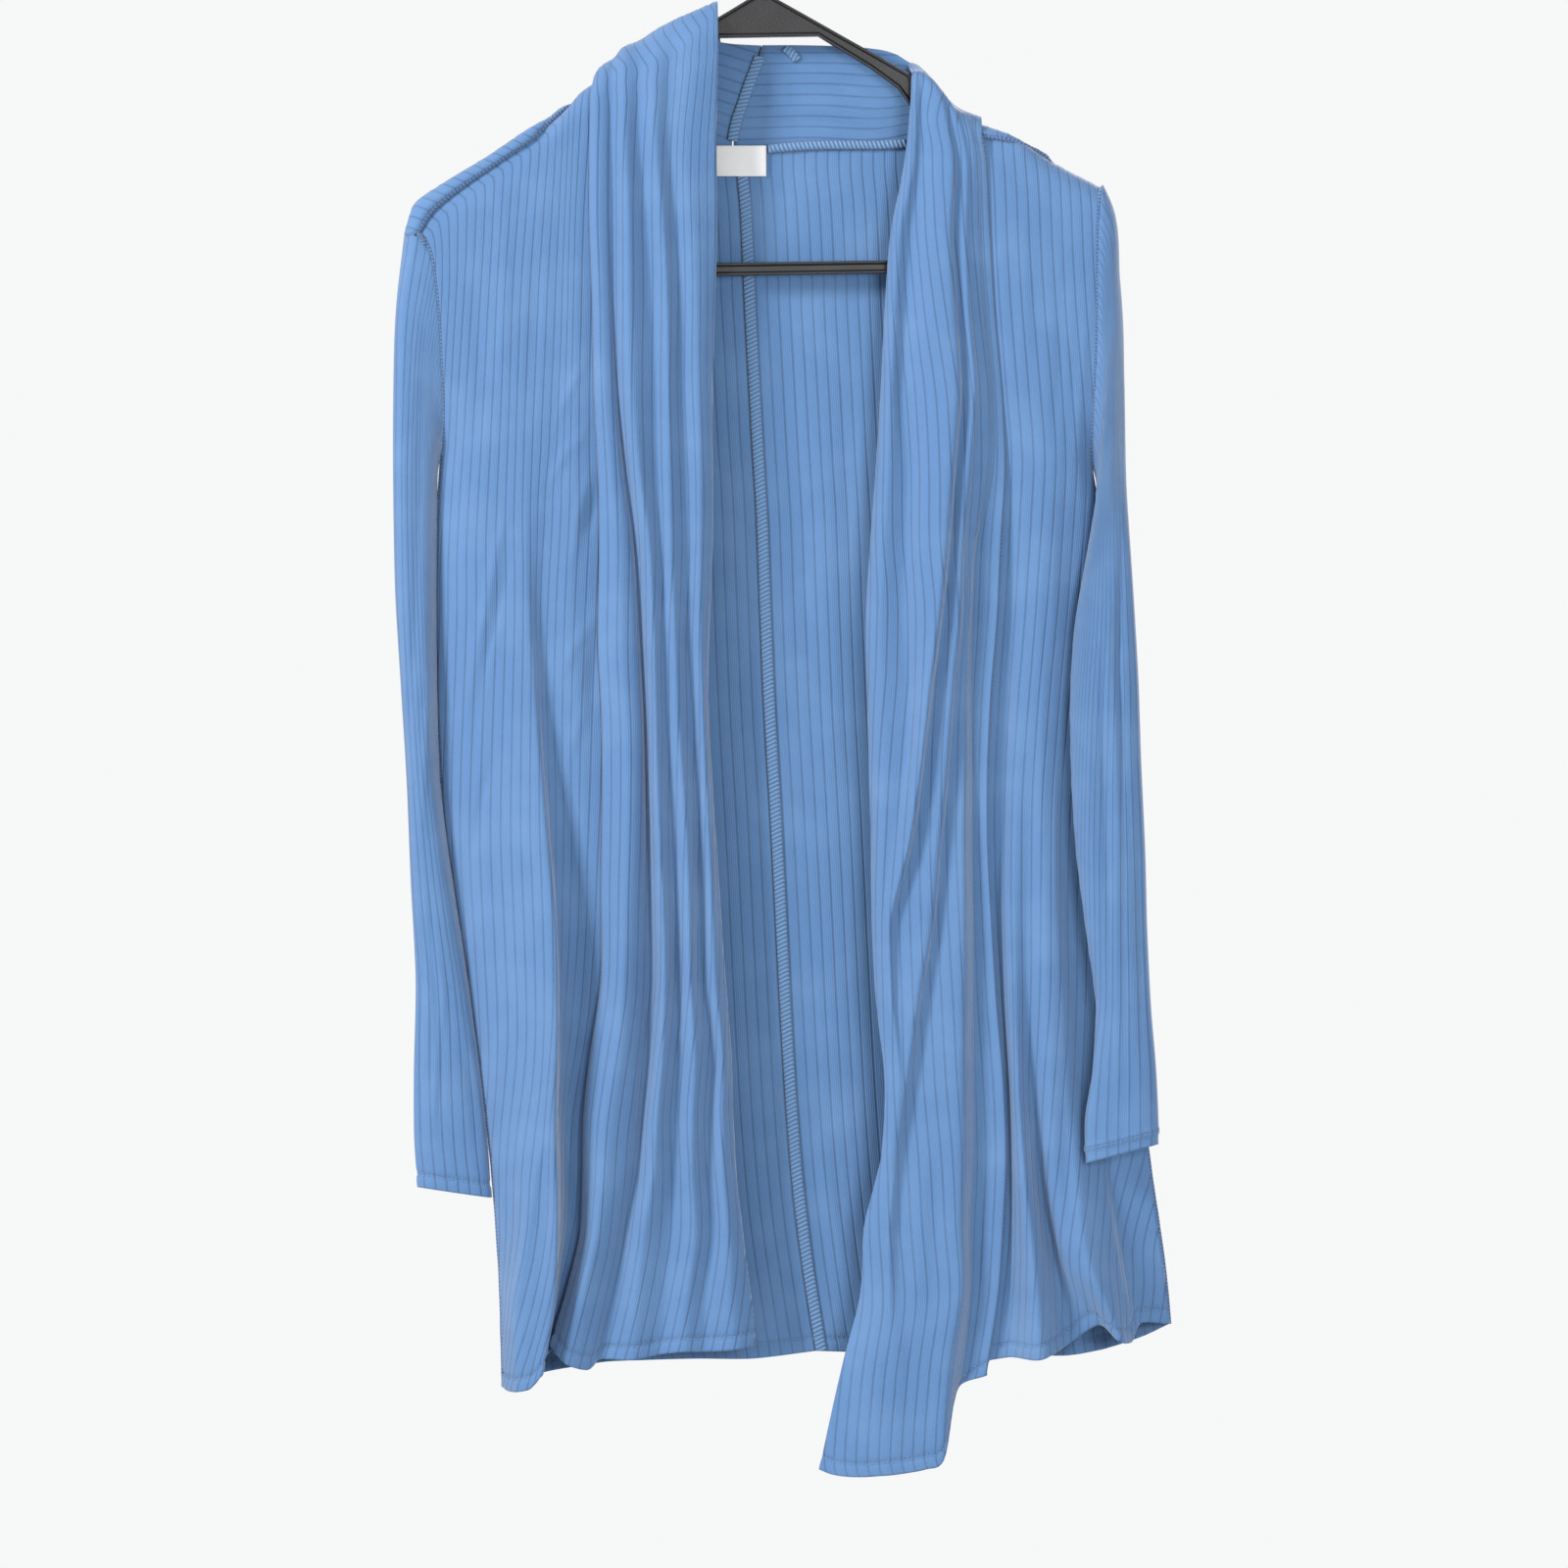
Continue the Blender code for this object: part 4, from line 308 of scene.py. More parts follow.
# Fold lines: band seam, strip crest, its right side, gap, first ridge, first valley,
# second ridge, second valley, third ridge, inner edge. The first three sections run
# from the centre of the back, where the band stands and rolls over, to the shoulder.
DRAPE_RIGHT = (
    ((153, 132, 107, 82, 60, 45, 62, 90, 118, 148),
     (747, 748, 755, 762, 771, 777, 776, 768, 760, 752),
     (14.2, 14.5, 15.0, 15.4, 15.6, 19.4, 23.4, 24.8, 25.6, 26.0)),
    ((147, 124, 100, 76, 56, 43, 54, 72, 92, 112),
     (728, 730, 733, 736, 739, 741, 742, 742, 742, 742),
     (14.0, 14.0, 14.2, 14.4, 14.8, 18.4, 22.4, 24.0, 25.0, 25.6)),
    ((128, 109, 90, 70, 50, 36, 33, 38, 45, 52),
     (672, 678, 685, 693, 702, 710, 716, 723, 730, 736),
     (13.2, 13.2, 13.2, 13.2, 13.6, 15.8, 18.4, 20.6, 22.2, 23.2)),
    ((93, 83, 73, 62, 48, 38, 25, 17, 13, 12),
     (613, 618, 624, 632, 644, 660, 680, 702, 719, 732),
     (12.0, 11.4, 10.8, 10.0, 9.6, 9.8, 11.0, 13.0, 15.4, 17.6)),
    ((77, 69, 64, 60, 48, 43, 32.5, 21, 12, 1),
     (608, 613, 619, 626, 637, 652, 668, 688, 708, 732),
     (0.0, 0.0, 0.0, 1.0, 0.0, 1.0, 0.0, 1.0, 0.0, 0.0)),
    ((94, 84, 80, 78, 68, 64, 56, 48, 42, 34),
     (604, 610, 617, 624, 638, 653, 669, 686, 707, 733),
     (-10.4, -12.0, -11.8, -10.8, -13.0, -11.0, -13.0, -10.6, -12.0, -9.6)),
    (138, (602, 610, 618, 624, 638, 653, 668, 683, 700, 731),
     (-11.4, -14.5, -13.5, -11.6, -17.0, -12.6, -17.0, -12.6, -14.5, -10.0)),
    (220, (602, 610, 619, 626, 641, 659, 675, 687, 705, 732),
     (-11.4, -15.0, -13.5, -11.0, -19.0, -12.6, -18.0, -12.2, -15.5, -9.6)),
    (300, (605, 613, 621, 625, 642, 665, 680, 691, 710, 730),
     (-11.4, -15.0, -13.5, -10.6, -20.0, -12.6, -18.4, -12.0, -16.0, -9.4)),
    (400, (607, 617, 625.5, 629, 645, 669, 682, 693, 712, 727),
     (-11.4, -15.4, -13.8, -9.8, -20.6, -12.6, -18.4, -11.6, -16.0, -9.2)),
    (480, (611, 624, 632.5, 637, 652, 669, 683, 697, 714, 727),
     (-11.4, -16.0, -14.0, -9.2, -21.0, -13.6, -18.4, -11.4, -16.2, -9.2)),
    (560, (612, 632, 643, 647, 662, 674, 685, 700, 714, 727),
     (-11.4, -16.8, -14.0, -8.8, -21.0, -15.6, -18.8, -11.2, -16.4, -9.0)),
    (660, (611, 635, 648.5, 653, 667, 677, 689, 701, 714, 723),
     (-11.4, -17.6, -14.4, -8.4, -21.6, -15.6, -19.2, -11.2, -16.4, -8.6)),
    (740, (615, 640, 653, 657, 669, 679, 692, 706, 717, 723),
     (-11.4, -18.4, -14.8, -8.2, -21.6, -15.0, -19.6, -11.0, -16.4, -8.2)),
    (820, (615, 642, 654, 659, 671, 684, 698, 710, 721, 728),
     (-11.4, -19.0, -15.0, -8.0, -22.0, -14.0, -20.0, -11.0, -16.4, -8.0)),
    (900, (614, 640, 653, 660, 675, 687, 702, 713, 725, 733),
     (-11.4, -19.6, -15.2, -7.6, -22.0, -13.0, -20.4, -11.0, -16.8, -8.0)),
    (1000, (614, 636, 650, 661, 678, 690, 704, 715, 729, 740),
     (-11.4, -20.4, -15.2, -7.0, -22.0, -12.6, -20.8, -11.0, -17.0, -7.6)),
    (1080, (602, 631, 648, 658, 675, 690, 708, 725, 737, 746),
     (-11.4, -21.2, -15.2, -7.0, -22.0, -12.6, -21.0, -11.0, -17.2, -7.6)),
    (1140, (596, 621, 645, 653, 670, 688, 706, 722, 736, 748),
     (-11.4, -22.0, -15.4, -8.0, -22.0, -12.6, -21.0, -11.0, -17.4, -7.6)),
    (1200, (595, 616, 638, 647, 666, 687, 705, 722, 738, 751),
     (-11.4, -22.6, -16.0, -9.4, -21.6, -12.8, -20.6, -11.4, -17.4, -7.8)),
    (1260, (592, 609, 626, 635, 656, 685, 708, 727, 743, 758),
     (-11.4, -23.0, -16.4, -10.4, -20.8, -13.2, -19.8, -12.4, -17.0, -8.2)),
    (1320, (577, 595, 614, 625, 650, 680, 700, 720, 744, 766),
     (-11.4, -23.0, -16.8, -11.0, -20.0, -13.6, -19.0, -13.4, -17.0, -8.8)),
    ((1371, 1391, 1396, 1387, 1386, 1381, 1378, 1378, 1376, 1371),
     (561, 580, 600, 610, 645, 673, 698, 722, 750, 771),
     (-11.4, -22.6, -17.0, -11.4, -19.6, -13.8, -18.4, -13.8, -17.0, -9.2)),
)

# Fold lines: inner edge, first ridge, groove, flat, front layer's edge, second layer,
# its edge, third layer, its middle, its edge, fourth layer, band seam
DRAPE_LEFT = (
    ((148, 122, 97, 76, 58, 45, 52, 66, 82, 107, 132, 153),
     (753.2, 760.2, 767.2, 773.2, 777.2, 778.2, 775.4, 770.2, 763.4, 756.4, 749.4, 748.2),
     (26.0, 25.6, 25.0, 24.2, 22.6, 19.2, 16.0, 15.4, 15.4, 15.0, 14.5, 14.2)),
    ((150, 126, 102, 80, 60, 45, 54, 66, 80, 103, 128, 151),
     (812, 814, 816, 818, 820, 821, 822, 822, 823, 824, 824, 824),
     (25.4, 25.0, 24.4, 23.4, 21.6, 18.0, 14.8, 14.0, 13.8, 13.8, 14.0, 14.2)),
    ((138, 116, 96, 76, 59, 48, 57, 70, 86, 108, 130, 152),
     (872, 876, 880, 884, 886, 887, 888, 890, 893, 897, 901, 905),
     (24.4, 24.0, 23.0, 22.0, 20.4, 17.0, 14.0, 13.2, 13.0, 13.0, 13.4, 13.8)),
    ((76, 71, 66, 61, 57.5, 57, 60, 70, 84, 100, 116, 134),
     (916, 916, 916, 916, 917, 918, 922, 930, 941, 953, 965, 978),
     (19.8, 19.6, 19.0, 17.8, 16.0, 14.0, 12.8, 12.4, 12.2, 12.4, 12.6, 12.8)),
    ((66, 64, 64, 67, 73, 80, 88, 96, 103, 109, 114, 123),
     (926, 929, 933, 938, 944, 950, 956, 963, 970, 977, 985, 996),
     (12.6, 11.6, 10.8, 10.2, 9.6, 9.2, 8.8, 8.6, 8.6, 8.8, 9.0, 9.4)),
    ((72.5, 72, 72, 78.5, 86, 93, 100, 106.5, 111.5, 115, 116.6, 119.5),
     (929, 934, 940, 948, 955, 960, 965, 970, 976, 983, 991, 1001),
     (1.0, 0.0, 0.6, 0.0, 0.0, 0.6, 0.0, 0.6, 0.6, 0.0, 0.0, 0.0)),
    ((77, 76.5, 77, 82, 90, 96, 103.5, 110.5, 115, 118.5, 120.5, 125),
     (930, 934, 940, 949, 957, 962, 967.5, 972.5, 978, 985, 992, 1001),
     (-7.8, -8.6, -8.2, -9.2, -9.8, -9.2, -9.2, -9.0, -9.0, -9.2, -9.2, -9.2)),
    ((98, 98, 99, 101, 106, 110, 117, 122, 127, 131, 134, 138),
     (930, 934, 940, 950, 961, 966, 974, 979, 984, 989, 994, 1001),
     (-9.8, -12.0, -10.8, -13.0, -14.0, -12.4, -13.4, -12.4, -12.8, -12.4, -12.0, -11.8)),
    (160, (924, 931, 939.5, 957, 971, 975, 984, 988, 992, 996, 999.5, 1004),
     (-10.0, -14.0, -12.0, -17.0, -18.0, -14.6, -16.0, -14.6, -14.0, -13.0, -12.4, -11.8)),
    (240, (909, 917, 930, 950, 968, 973, 984, 988, 992, 997, 1002, 1009),
     (-10.0, -15.0, -12.0, -19.0, -21.0, -16.4, -18.0, -16.0, -15.0, -13.6, -12.6, -11.8)),
    (320, (903, 911, 925, 946, 972, 977, 987, 991, 996, 1001, 1007, 1014),
     (-10.0, -16.0, -12.6, -21.0, -23.0, -17.4, -20.0, -16.8, -15.2, -13.8, -12.6, -11.8)),
    (400, (899, 908, 921, 946, 976, 981, 993, 997, 1002, 1008, 1014, 1021),
     (-10.0, -17.0, -13.2, -22.0, -25.0, -18.4, -21.0, -17.2, -15.4, -13.8, -12.6, -11.8)),
    (480, (894, 905, 926, 946, 970, 975, 987, 992, 998, 1006, 1014, 1025),
     (-10.0, -18.0, -14.2, -23.0, -26.0, -18.8, -21.6, -17.2, -15.4, -13.8, -12.6, -12.2)),
    (560, (888, 900, 924, 942, 964, 969, 980, 984, 988, 992, 998, 1021),
     (-10.0, -18.0, -15.0, -24.0, -27.0, -19.2, -22.0, -17.2, -14.8, -13.0, -11.0, -12.6)),
    (630, (884, 897, 922, 940, 957, 962, 977, 981, 984.5, 988, 994, 1018),
     (-10.0, -18.0, -15.6, -24.6, -28.0, -19.6, -22.4, -17.0, -14.4, -12.2, -10.0, -12.8)),
    (700, (885, 897, 927, 938, 948, 953, 970, 975, 980, 985, 992, 1012),
     (-10.0, -18.4, -17.0, -24.6, -28.0, -19.8, -22.4, -16.8, -14.6, -13.2, -10.0, -12.8)),
    (780, (887, 899, 923, 932, 939, 944, 964, 969, 976, 984, 992, 1008),
     (-10.0, -18.4, -19.0, -24.0, -27.6, -20.0, -22.4, -16.6, -15.8, -15.4, -10.0, -12.8)),
    (860, (889, 898, 911, 919, 927, 933, 956, 961, 972, 983, 992, 1008),
     (-10.4, -18.0, -19.6, -23.0, -26.4, -19.6, -22.4, -16.2, -17.0, -17.4, -10.0, -12.8)),
    (940, (890, 895, 900, 904, 908, 915, 948, 954, 968, 983, 993, 1012),
     (-12.0, -16.6, -19.0, -21.0, -23.0, -19.0, -22.4, -16.2, -18.0, -18.6, -10.0, -12.8)),
    (1020, (894, 898, 902, 906, 910, 915, 935, 941, 962, 982, 994, 1017),
     (-14.0, -17.0, -19.0, -20.6, -21.8, -19.4, -22.4, -16.6, -18.6, -19.4, -10.0, -12.8)),
    (1100, (903, 906, 909, 913, 917, 920.5, 925, 932, 955, 980, 995, 1024),
     (-17.0, -19.0, -20.0, -21.0, -22.0, -21.6, -20.8, -16.2, -18.4, -19.8, -10.4, -12.8)),
    (1180, (899, 902, 904.5, 907, 909.5, 912, 914.5, 922, 947, 979, 995, 1027),
     (-17.4, -18.6, -19.6, -20.2, -20.4, -20.2, -19.4, -16.2, -18.4, -20.0, -10.4, -12.8)),
    (1250, (882, 887, 892, 897, 901, 904.5, 908, 917, 946, 977, 991, 1024),
     (-14.0, -15.6, -17.0, -18.2, -19.2, -19.8, -20.0, -16.8, -18.8, -20.2, -10.6, -12.8)),
    (1320, (878, 883, 889, 895, 900, 905, 909, 920, 948, 979, 990, 1019),
     (-13.0, -15.0, -17.0, -18.6, -19.6, -20.2, -20.4, -17.8, -19.2, -20.4, -11.2, -12.8)),
    (1390, (860, 869, 878, 887, 896, 904, 912, 926, 946, 968, 984, 1008),
     (-12.0, -14.6, -17.0, -18.6, -19.6, -20.0, -20.0, -19.0, -19.6, -20.4, -12.0, -12.8)),
    ((1498, 1502, 1504, 1505, 1505, 1504, 1503, 1501, 1497, 1488, 1420, 1402),
     (836, 846, 856, 868, 882, 896, 910, 925, 945, 962, 974, 1007),
     (-12.0, -14.6, -17.0, -18.6, -19.6, -20.0, -20.0, -19.4, -19.6, -19.8, -13.4, -12.8)),
)

# The sleeves are tubes. Their first sections are the armhole and the sleeve head: the
# front half, from the outer edge to the underarm, which the back half mirrors.
SLEEVE_RIGHT_HEAD = (
    ((241.5, 241.6, 245, 258, 286, 326, 386, 432, 461),
     (413, 424, 432.6, 439.6, 444.6, 448.6, 451.6, 452.4, 450),
     (0.0, -9.3, -9.3, -9.4, -9.4, -9.4, -8.6, -5.4, 0.0)),
    ((300, 303, 308, 318, 336, 366, 410, 448, 478),
     (406, 411, 418, 426, 434, 440, 445, 447.6, 446.4),
     (0.0, -8.0, -9.6, -9.9, -9.9, -9.6, -8.8, -5.8, 0.0)),
)

SLEEVE_LEFT_HEAD = (
    ((189, 203, 224, 262, 310, 360, 410, 447, 471),
     (1124.4, 1122.4, 1120.8, 1119.6, 1119.6, 1118.6, 1116.6, 1114.8, 1114),
     (0.0, -7.9, -9.4, -9.4, -9.4, -9.0, -8.0, -4.6, 0.0)),
    ((207, 214, 232, 266, 312, 362, 413, 453, 482),
     (1133, 1130.6, 1127, 1124, 1122.5, 1121.4, 1119.8, 1118.6, 1117.4),
     (0.0, -7.0, -9.4, -9.6, -9.6, -9.2, -8.4, -5.6, -0.6)),
    ((285, 288, 296, 311, 340, 380, 426, 470, 508),
     (1141.5, 1139, 1136, 1132, 1129.4, 1127.4, 1125.4, 1122.4, 1119),
     (0.0, -6.5, -9.2, -10.0, -10.2, -10.4, -10.6, -9.6, -4.0)),
)

# Below the head a sleeve has one level a line: the row, column and depth of the centre
# line at its outer and inner edges, and half its thickness.
SLEEVE_RIGHT_LEVELS = (
    ((420, 402, 0.0), (515, 445.4, 0.0), 10.0),
    ((600, 404, 0.0), (605, 444.6, 0.0), 12.0),
    ((700, 410, 0.0), (700, 445.2, 0.0), 13.6),
    ((800, 416, 0.0), (800, 448.4, 0.0), 13.0),
    ((900, 420, 0.0), (900, 461.4, 0.0), 11.6),
    ((1000, 425, 0.0), (1000, 476.8, 0.0), 10.0),
    ((1100, 423, 0.0), (1100, 489.6, 0.0), 8.6),
    ((1165, 423.5, 0.0), (1170, 497.0, 0.0), 7.6),
    ((1211, 427, 0.0), (1222, 500.5, 0.0), 6.6),
)

SLEEVE_LEFT_LEVELS = (
    ((392, 1146, -1.0), (552, 1112, -12.0), 8.4),
    ((500, 1148, -6.0), (612, 1101, -17.6), 8.4),
    ((600, 1154, -16.0), (645, 1096, -19.6), 8.6),
    ((690, 1159, -20.0), (710, 1092, -21.4), 8.8),
    ((780, 1162, -22.0), (790, 1093, -22.6), 9.0),
    ((870, 1166, -23.0), (870, 1098, -23.4), 9.2),
    ((950, 1168, -23.6), (950, 1108, -24.0), 9.4),
    ((1030, 1172, -24.0), (1030, 1118, -24.4), 9.0),
    ((1090, 1177, -24.0), (1095, 1114, -24.4), 8.4),
    ((1130, 1179, -24.0), (1140, 1107, -24.4), 8.0),
    ((1166, 1180, -24.0), (1185, 1107, -24.4), 7.4),
)
SLEEVE_LINES = 16
SLEEVE_FULLNESS = 0.82       # 1 is an ellipse, less is a flatter tube with rounder edges

# The hanger's moulding: the outer edge and the edge of its opening, one pair a line, as
# columns from its middle and rows, from the apex round the end to the middle of the bar.
HANGER_EDGES = (
    ((0, -9), (0, 38)),
    ((30, 8.5), (30, 38)),
    ((60, 26), (56, 38)),
    ((90, 43.6), (78, 52)),
    ((120, 61), (108, 71)),
    ((150, 79), (136, 92)),
    ((156, 103), (150, 112)),
    ((166, 113), (162, 126)),
    ((200, 130), (196, 146)),
    ((260, 162), (254, 178)),
    ((318, 194), (310, 208)),
    ((334, 203.5), (322, 217)),
    ((343, 213), (329, 225)),
    ((346, 227), (332, 232)),
    ((344, 246), (331, 245)),
    ((336, 263), (325, 256)),
    ((322, 275), (314, 264)),
    ((298, 281), (294, 268)),
    ((150, 281), (150, 268)),
    ((0, 281), (0, 268)),
)
HANGER_TILT = math.radians(0.9)
HOOK_STEM = ((0.0, -3.06), (0.0, -2.3), (0.06, -1.85), (0.32, -1.42), (0.68, -1.02))
HOOK_ARC = (-35, 205, 40)    # first angle, last angle, points

# Soft creases: height towards the viewer in millimetres (a trough is below
# 0), half width in columns, then the points of its line as columns and rows.
CREASES = {
    "right_front": (
        (1.6, 5, ((518, 520), (508, 560), (500, 600), (492, 640), (484, 680), (470, 760))),
        (-1.3, 5, ((524, 560), (512, 610), (502, 660), (494, 710), (486, 770))),
        (1.2, 4, ((510, 640), (503, 670), (497, 700), (490, 760))),
        (-1.1, 5, ((503, 770), (495, 805), (488, 840), (482, 880))),
        (1.4, 5, ((606, 478), (596, 500), (590, 530), (587, 560), (583, 580))),
        (-2.2, 6, ((606, 500), (602, 525), (597, 548))),
        (1.3, 4, ((603, 430), (590, 452), (578, 462), (568, 480), (562, 500))),
        (1.0, 4, ((600, 370), (590, 382), (577, 410), (566, 440))),
        (1.3, 5, ((612, 620), (601, 640), (586, 660), (574, 690))),
        (-2.0, 6, ((608, 652), (604, 690), (604, 730))),
        (1.2, 5, ((600, 715), (590, 740), (578, 780), (574, 820))),
        (1.5, 5, ((557, 1160), (548, 1190), (541, 1240), (531, 1300), (519, 1370))),
        (-1.3, 7, ((532, 1120), (524, 1200), (518, 1290))),
        (-1.0, 8, ((482, 300), (492, 380), (488, 470))),
        (0.9, 8, ((512, 200), (516, 290), (512, 380))),
        (-0.9, 7, ((548, 240), (546, 330), (540, 420))),
    ),
    "left_front": (
        (1.4, 6, ((1099, 1160), (1100, 1240), (1103, 1270), (1112, 1300), (1125, 1330))),
        (-1.2, 6, ((1084, 1120), (1086, 1190), (1094, 1250))),
        (-1.2, 8, ((1034, 480), (1033, 560), (1025, 680), (1023, 780))),
        (1.1, 7, ((1058, 560), (1052, 700), (1050, 840))),
        (-1.0, 7, ((1076, 640), (1072, 780), (1066, 900))),
        (1.0, 8, ((1042, 220), (1046, 300), (1044, 380))),
        (-1.0, 7, ((1082, 280), (1080, 380), (1074, 460))),
        (0.9, 6, ((1108, 320), (1102, 400), (1096, 480))),
    ),
    "right_back": (
        (-1.6, 14, ((640, 420), (648, 620), (652, 820))),
        (1.6, 14, ((700, 500), (706, 760), (716, 1040))),
        (-1.5, 12, ((520, 520), (532, 760), (556, 1040))),
    ),
    "left_back": (
        (0.9, 8, ((836, 1160), (848, 1240), (868, 1310))),
        (-0.8, 9, ((812, 1120), (826, 1220), (842, 1320))),
        (-0.8, 14, ((800, 330), (812, 520), (830, 760))),
        (0.8, 14, ((840, 420), (848, 640), (856, 900))),
        (-0.9, 12, ((862, 300), (866, 520), (870, 800))),
        (1.5, 12, ((980, 520), (988, 760), (1000, 1040))),
        (-1.5, 12, ((1060, 560), (1072, 800), (1086, 1100))),
    ),
    "right_drape": (
        (-1.2, 4, ((666, 500), (670, 545), (676, 620))),
        (1.0, 4, ((684, 1040), (700, 1060), (716, 1090))),
        (-1.2, 5, ((700, 1180), (697, 1260), (698, 1330))),
        (0.9, 5, ((731, 1250), (731, 1300), (728, 1350))),
    ),
    "left_drape": (
        (1.3, 4, ((784, 70), (830, 76), (880, 94), (916, 116))),
        (-1.5, 4, ((796, 62), (845, 86), (900, 116), (922, 127))),
        (1.0, 5, ((780, 104), (850, 108), (918, 134))),
        (-0.9, 4, ((770, 122), (850, 124), (920, 140))),
        (-1.0, 5, ((956, 560), (950, 640), (944, 700))),
        (0.9, 5, ((946, 460), (940, 560), (932, 660))),
        (1.6, 7, ((988, 1180), (987, 1240), (984, 1300), (983, 1340))),
        (-1.6, 6, ((1003, 1200), (1001, 1260), (995, 1310))),
        (1.1, 7, ((940, 1180), (936, 1280), (930, 1380))),
        (-1.0, 7, ((958, 1160), (956, 1260), (950, 1360))),
        (0.9, 6, ((924, 1240), (922, 1330), (914, 1430))),
    ),
    "right_sleeve": (
        (1.0, 5, ((412, 300), (411, 400), (411, 500), (413, 620))),
        (-1.2, 5, ((434, 320), (430, 420), (428, 520), (424, 640), (417, 760), (421, 860))),
        (1.2, 4, ((434, 640), (438, 700), (434, 780), (430, 860))),
        (-1.2, 3, ((431, 900), (433, 1000), (428, 1090), (434, 1160))),
        (1.1, 4, ((441, 960), (453, 1010), (446, 1100), (440, 1160))),
        (-1.2, 4, ((440, 900), (441, 960), (450, 1060), (448, 1160))),
        (-1.0, 6, ((470, 1060), (482, 1110), (488, 1170))),
    ),
    "left_sleeve": (
        (-2.4, 4, ((1143, 540), (1141, 620), (1140, 680), (1142, 760), (1142, 830))),
        (1.5, 4, ((1136, 690), (1138, 800), (1137, 940), (1138, 1100))),
        (-1.5, 4, ((1124, 660), (1123, 740), (1126, 840), (1130, 960))),
        (1.0, 5, ((1108, 720), (1110, 820), (1117, 940))),
        (-1.2, 5, ((1158, 860), (1160, 960), (1163, 1080))),
        (1.0, 5, ((1132, 330), (1134, 430), (1130, 520))),
    ),
}


def place(column, row, depth):
    """A point of the frame, from the drafting grid and a depth in millimetres."""
    x = (column - CENTRE_COLUMN) * STEP
    return (x, depth * MILLIMETRE, -GRID_DROP - row * STEP)


def section_points(section, lines):
    """The points of one section: its row, or one row a line, its columns and depths."""
    rows, columns, depths = section
    if not isinstance(rows, tuple):
        rows = (rows,) * lines
    return [place(columns[i], rows[i], depths[i]) for i in range(lines)]


def smooth(points, spacing, closed=False):
    """Cubic curves along the first axis, with new points about a spacing apart."""
    count = len(points)
    spans = count if closed else count - 1
    gaps = []
    for i in range(spans):
        step = points[(i + 1) % count] - points[i]
        gaps.append(max(float(np.mean(np.linalg.norm(step, axis=-1))), 1e-6))
    slopes = [(points[(i + 1) % count] - points[i]) / gaps[i] for i in range(spans)]
    tangents = []
    for i in range(count):
        before = i - 1 if i > 0 or closed else 0
        after = i if i < spans else spans - 1
        weight = gaps[before] + gaps[after]
        mean = (slopes[before] * gaps[after] + slopes[after] * gaps[before]) / weight
        tangents.append(mean * EASE)
    rows = []
    for i in range(spans):
        j = (i + 1) % count
        steps = max(1, math.ceil(gaps[i] / spacing))
        for k in range(steps):
            t = k / steps
            rows.append(
                (2 * t**3 - 3 * t**2 + 1) * points[i]
                + (t**3 - 2 * t**2 + t) * gaps[i] * tangents[i]
                + (3 * t**2 - 2 * t**3) * points[j]
                + (t**3 - t**2) * gaps[i] * tangents[j]
            )
    rows.append(points[0] if closed else points[-1])
    return np.array(rows)


def arc_lengths(points):
    """How far each point lies along its line, for lines down the first axis."""
    steps = np.linalg.norm(np.diff(points, axis=0), axis=-1)
    return np.vstack([np.zeros(steps.shape[1]), np.cumsum(steps, axis=0)])


def even_rows(points, spacing, edge_rows):
    """Rows at set heights above the bottom edge, then evenly on to the top edge."""
    upward = points[::-1]
    lengths = arc_lengths(upward)
    count = int((lengths[-1].mean() - edge_rows[-1]) / spacing)
    placed = np.empty((len(edge_rows) + count, points.shape[1], 3))
    heights = np.empty(placed.shape[:2])
    for j in range(points.shape[1]):
        rest = np.linspace(edge_rows[-1], lengths[-1, j], count + 1)[1:]
        heights[:, j] = np.concatenate([edge_rows, rest])
        for k in range(3):
            placed[:, j, k] = np.interp(heights[:, j], lengths[:, j], upward[:, j, k])
    return placed, heights


def grid_normals(points, closed):
    """The direction square to the cloth at each point of its grid."""
    down = np.gradient(points, axis=0)
    across = np.gradient(points, axis=1)
    if closed:
        ends = points[:, 1] - points[:, -2]
        across[:, 0] = ends
        across[:, -1] = ends
    normals = np.cross(across, down)
    return normals / np.maximum(np.linalg.norm(normals, axis=-1, keepdims=True), 1e-12)


def crease_heights(points, creases):
    """How far towards the viewer the creases push each point, in metres."""
    columns = points[..., 0] / STEP + CENTRE_COLUMN
    rows = -(points[..., 2] + GRID_DROP) / STEP
    total = np.zeros(points.shape[:2])
    for height, half_width, line in creases:
        nearest = np.full(points.shape[:2], 1e9)
        share = np.zeros(points.shape[:2])
        for i in range(len(line) - 1):
            (c0, r0), (c1, r1) = line[i], line[i + 1]
            square = (c1 - c0) ** 2 + (r1 - r0) ** 2
            t = np.clip(((columns - c0) * (c1 - c0) + (rows - r0) * (r1 - r0)) / square, 0, 1)
            away = np.hypot(columns - c0 - t * (c1 - c0), rows - r0 - t * (r1 - r0))
            closer = away < nearest
            nearest = np.where(closer, away, nearest)
            share = np.where(closer, (i + t) / (len(line) - 1), share)
        fade = np.sin(np.pi * np.clip(share, 0.02, 0.98)) ** 0.6
        total += height * MILLIMETRE * fade * np.exp(-(nearest / half_width) ** 2)
    return total


def back_table(top, levels, shares, hem):
    """A back's sections: the drafted top, the levels spread over their width, the hem."""
    table = list(top)
    for row, side, centre, depths in levels:
        columns = tuple(side + share * (centre - side) for share in shares)
        table.append((row, columns, depths))
    table.append(hem)
    return table


def reverse_lines(sections):
    """The same sections with their fold lines in the opposite order."""
    table = []
    for rows, columns, depths in sections:
        turned_rows = rows[::-1] if isinstance(rows, tuple) else rows
        table.append((turned_rows, columns[::-1], depths[::-1]))
    return table


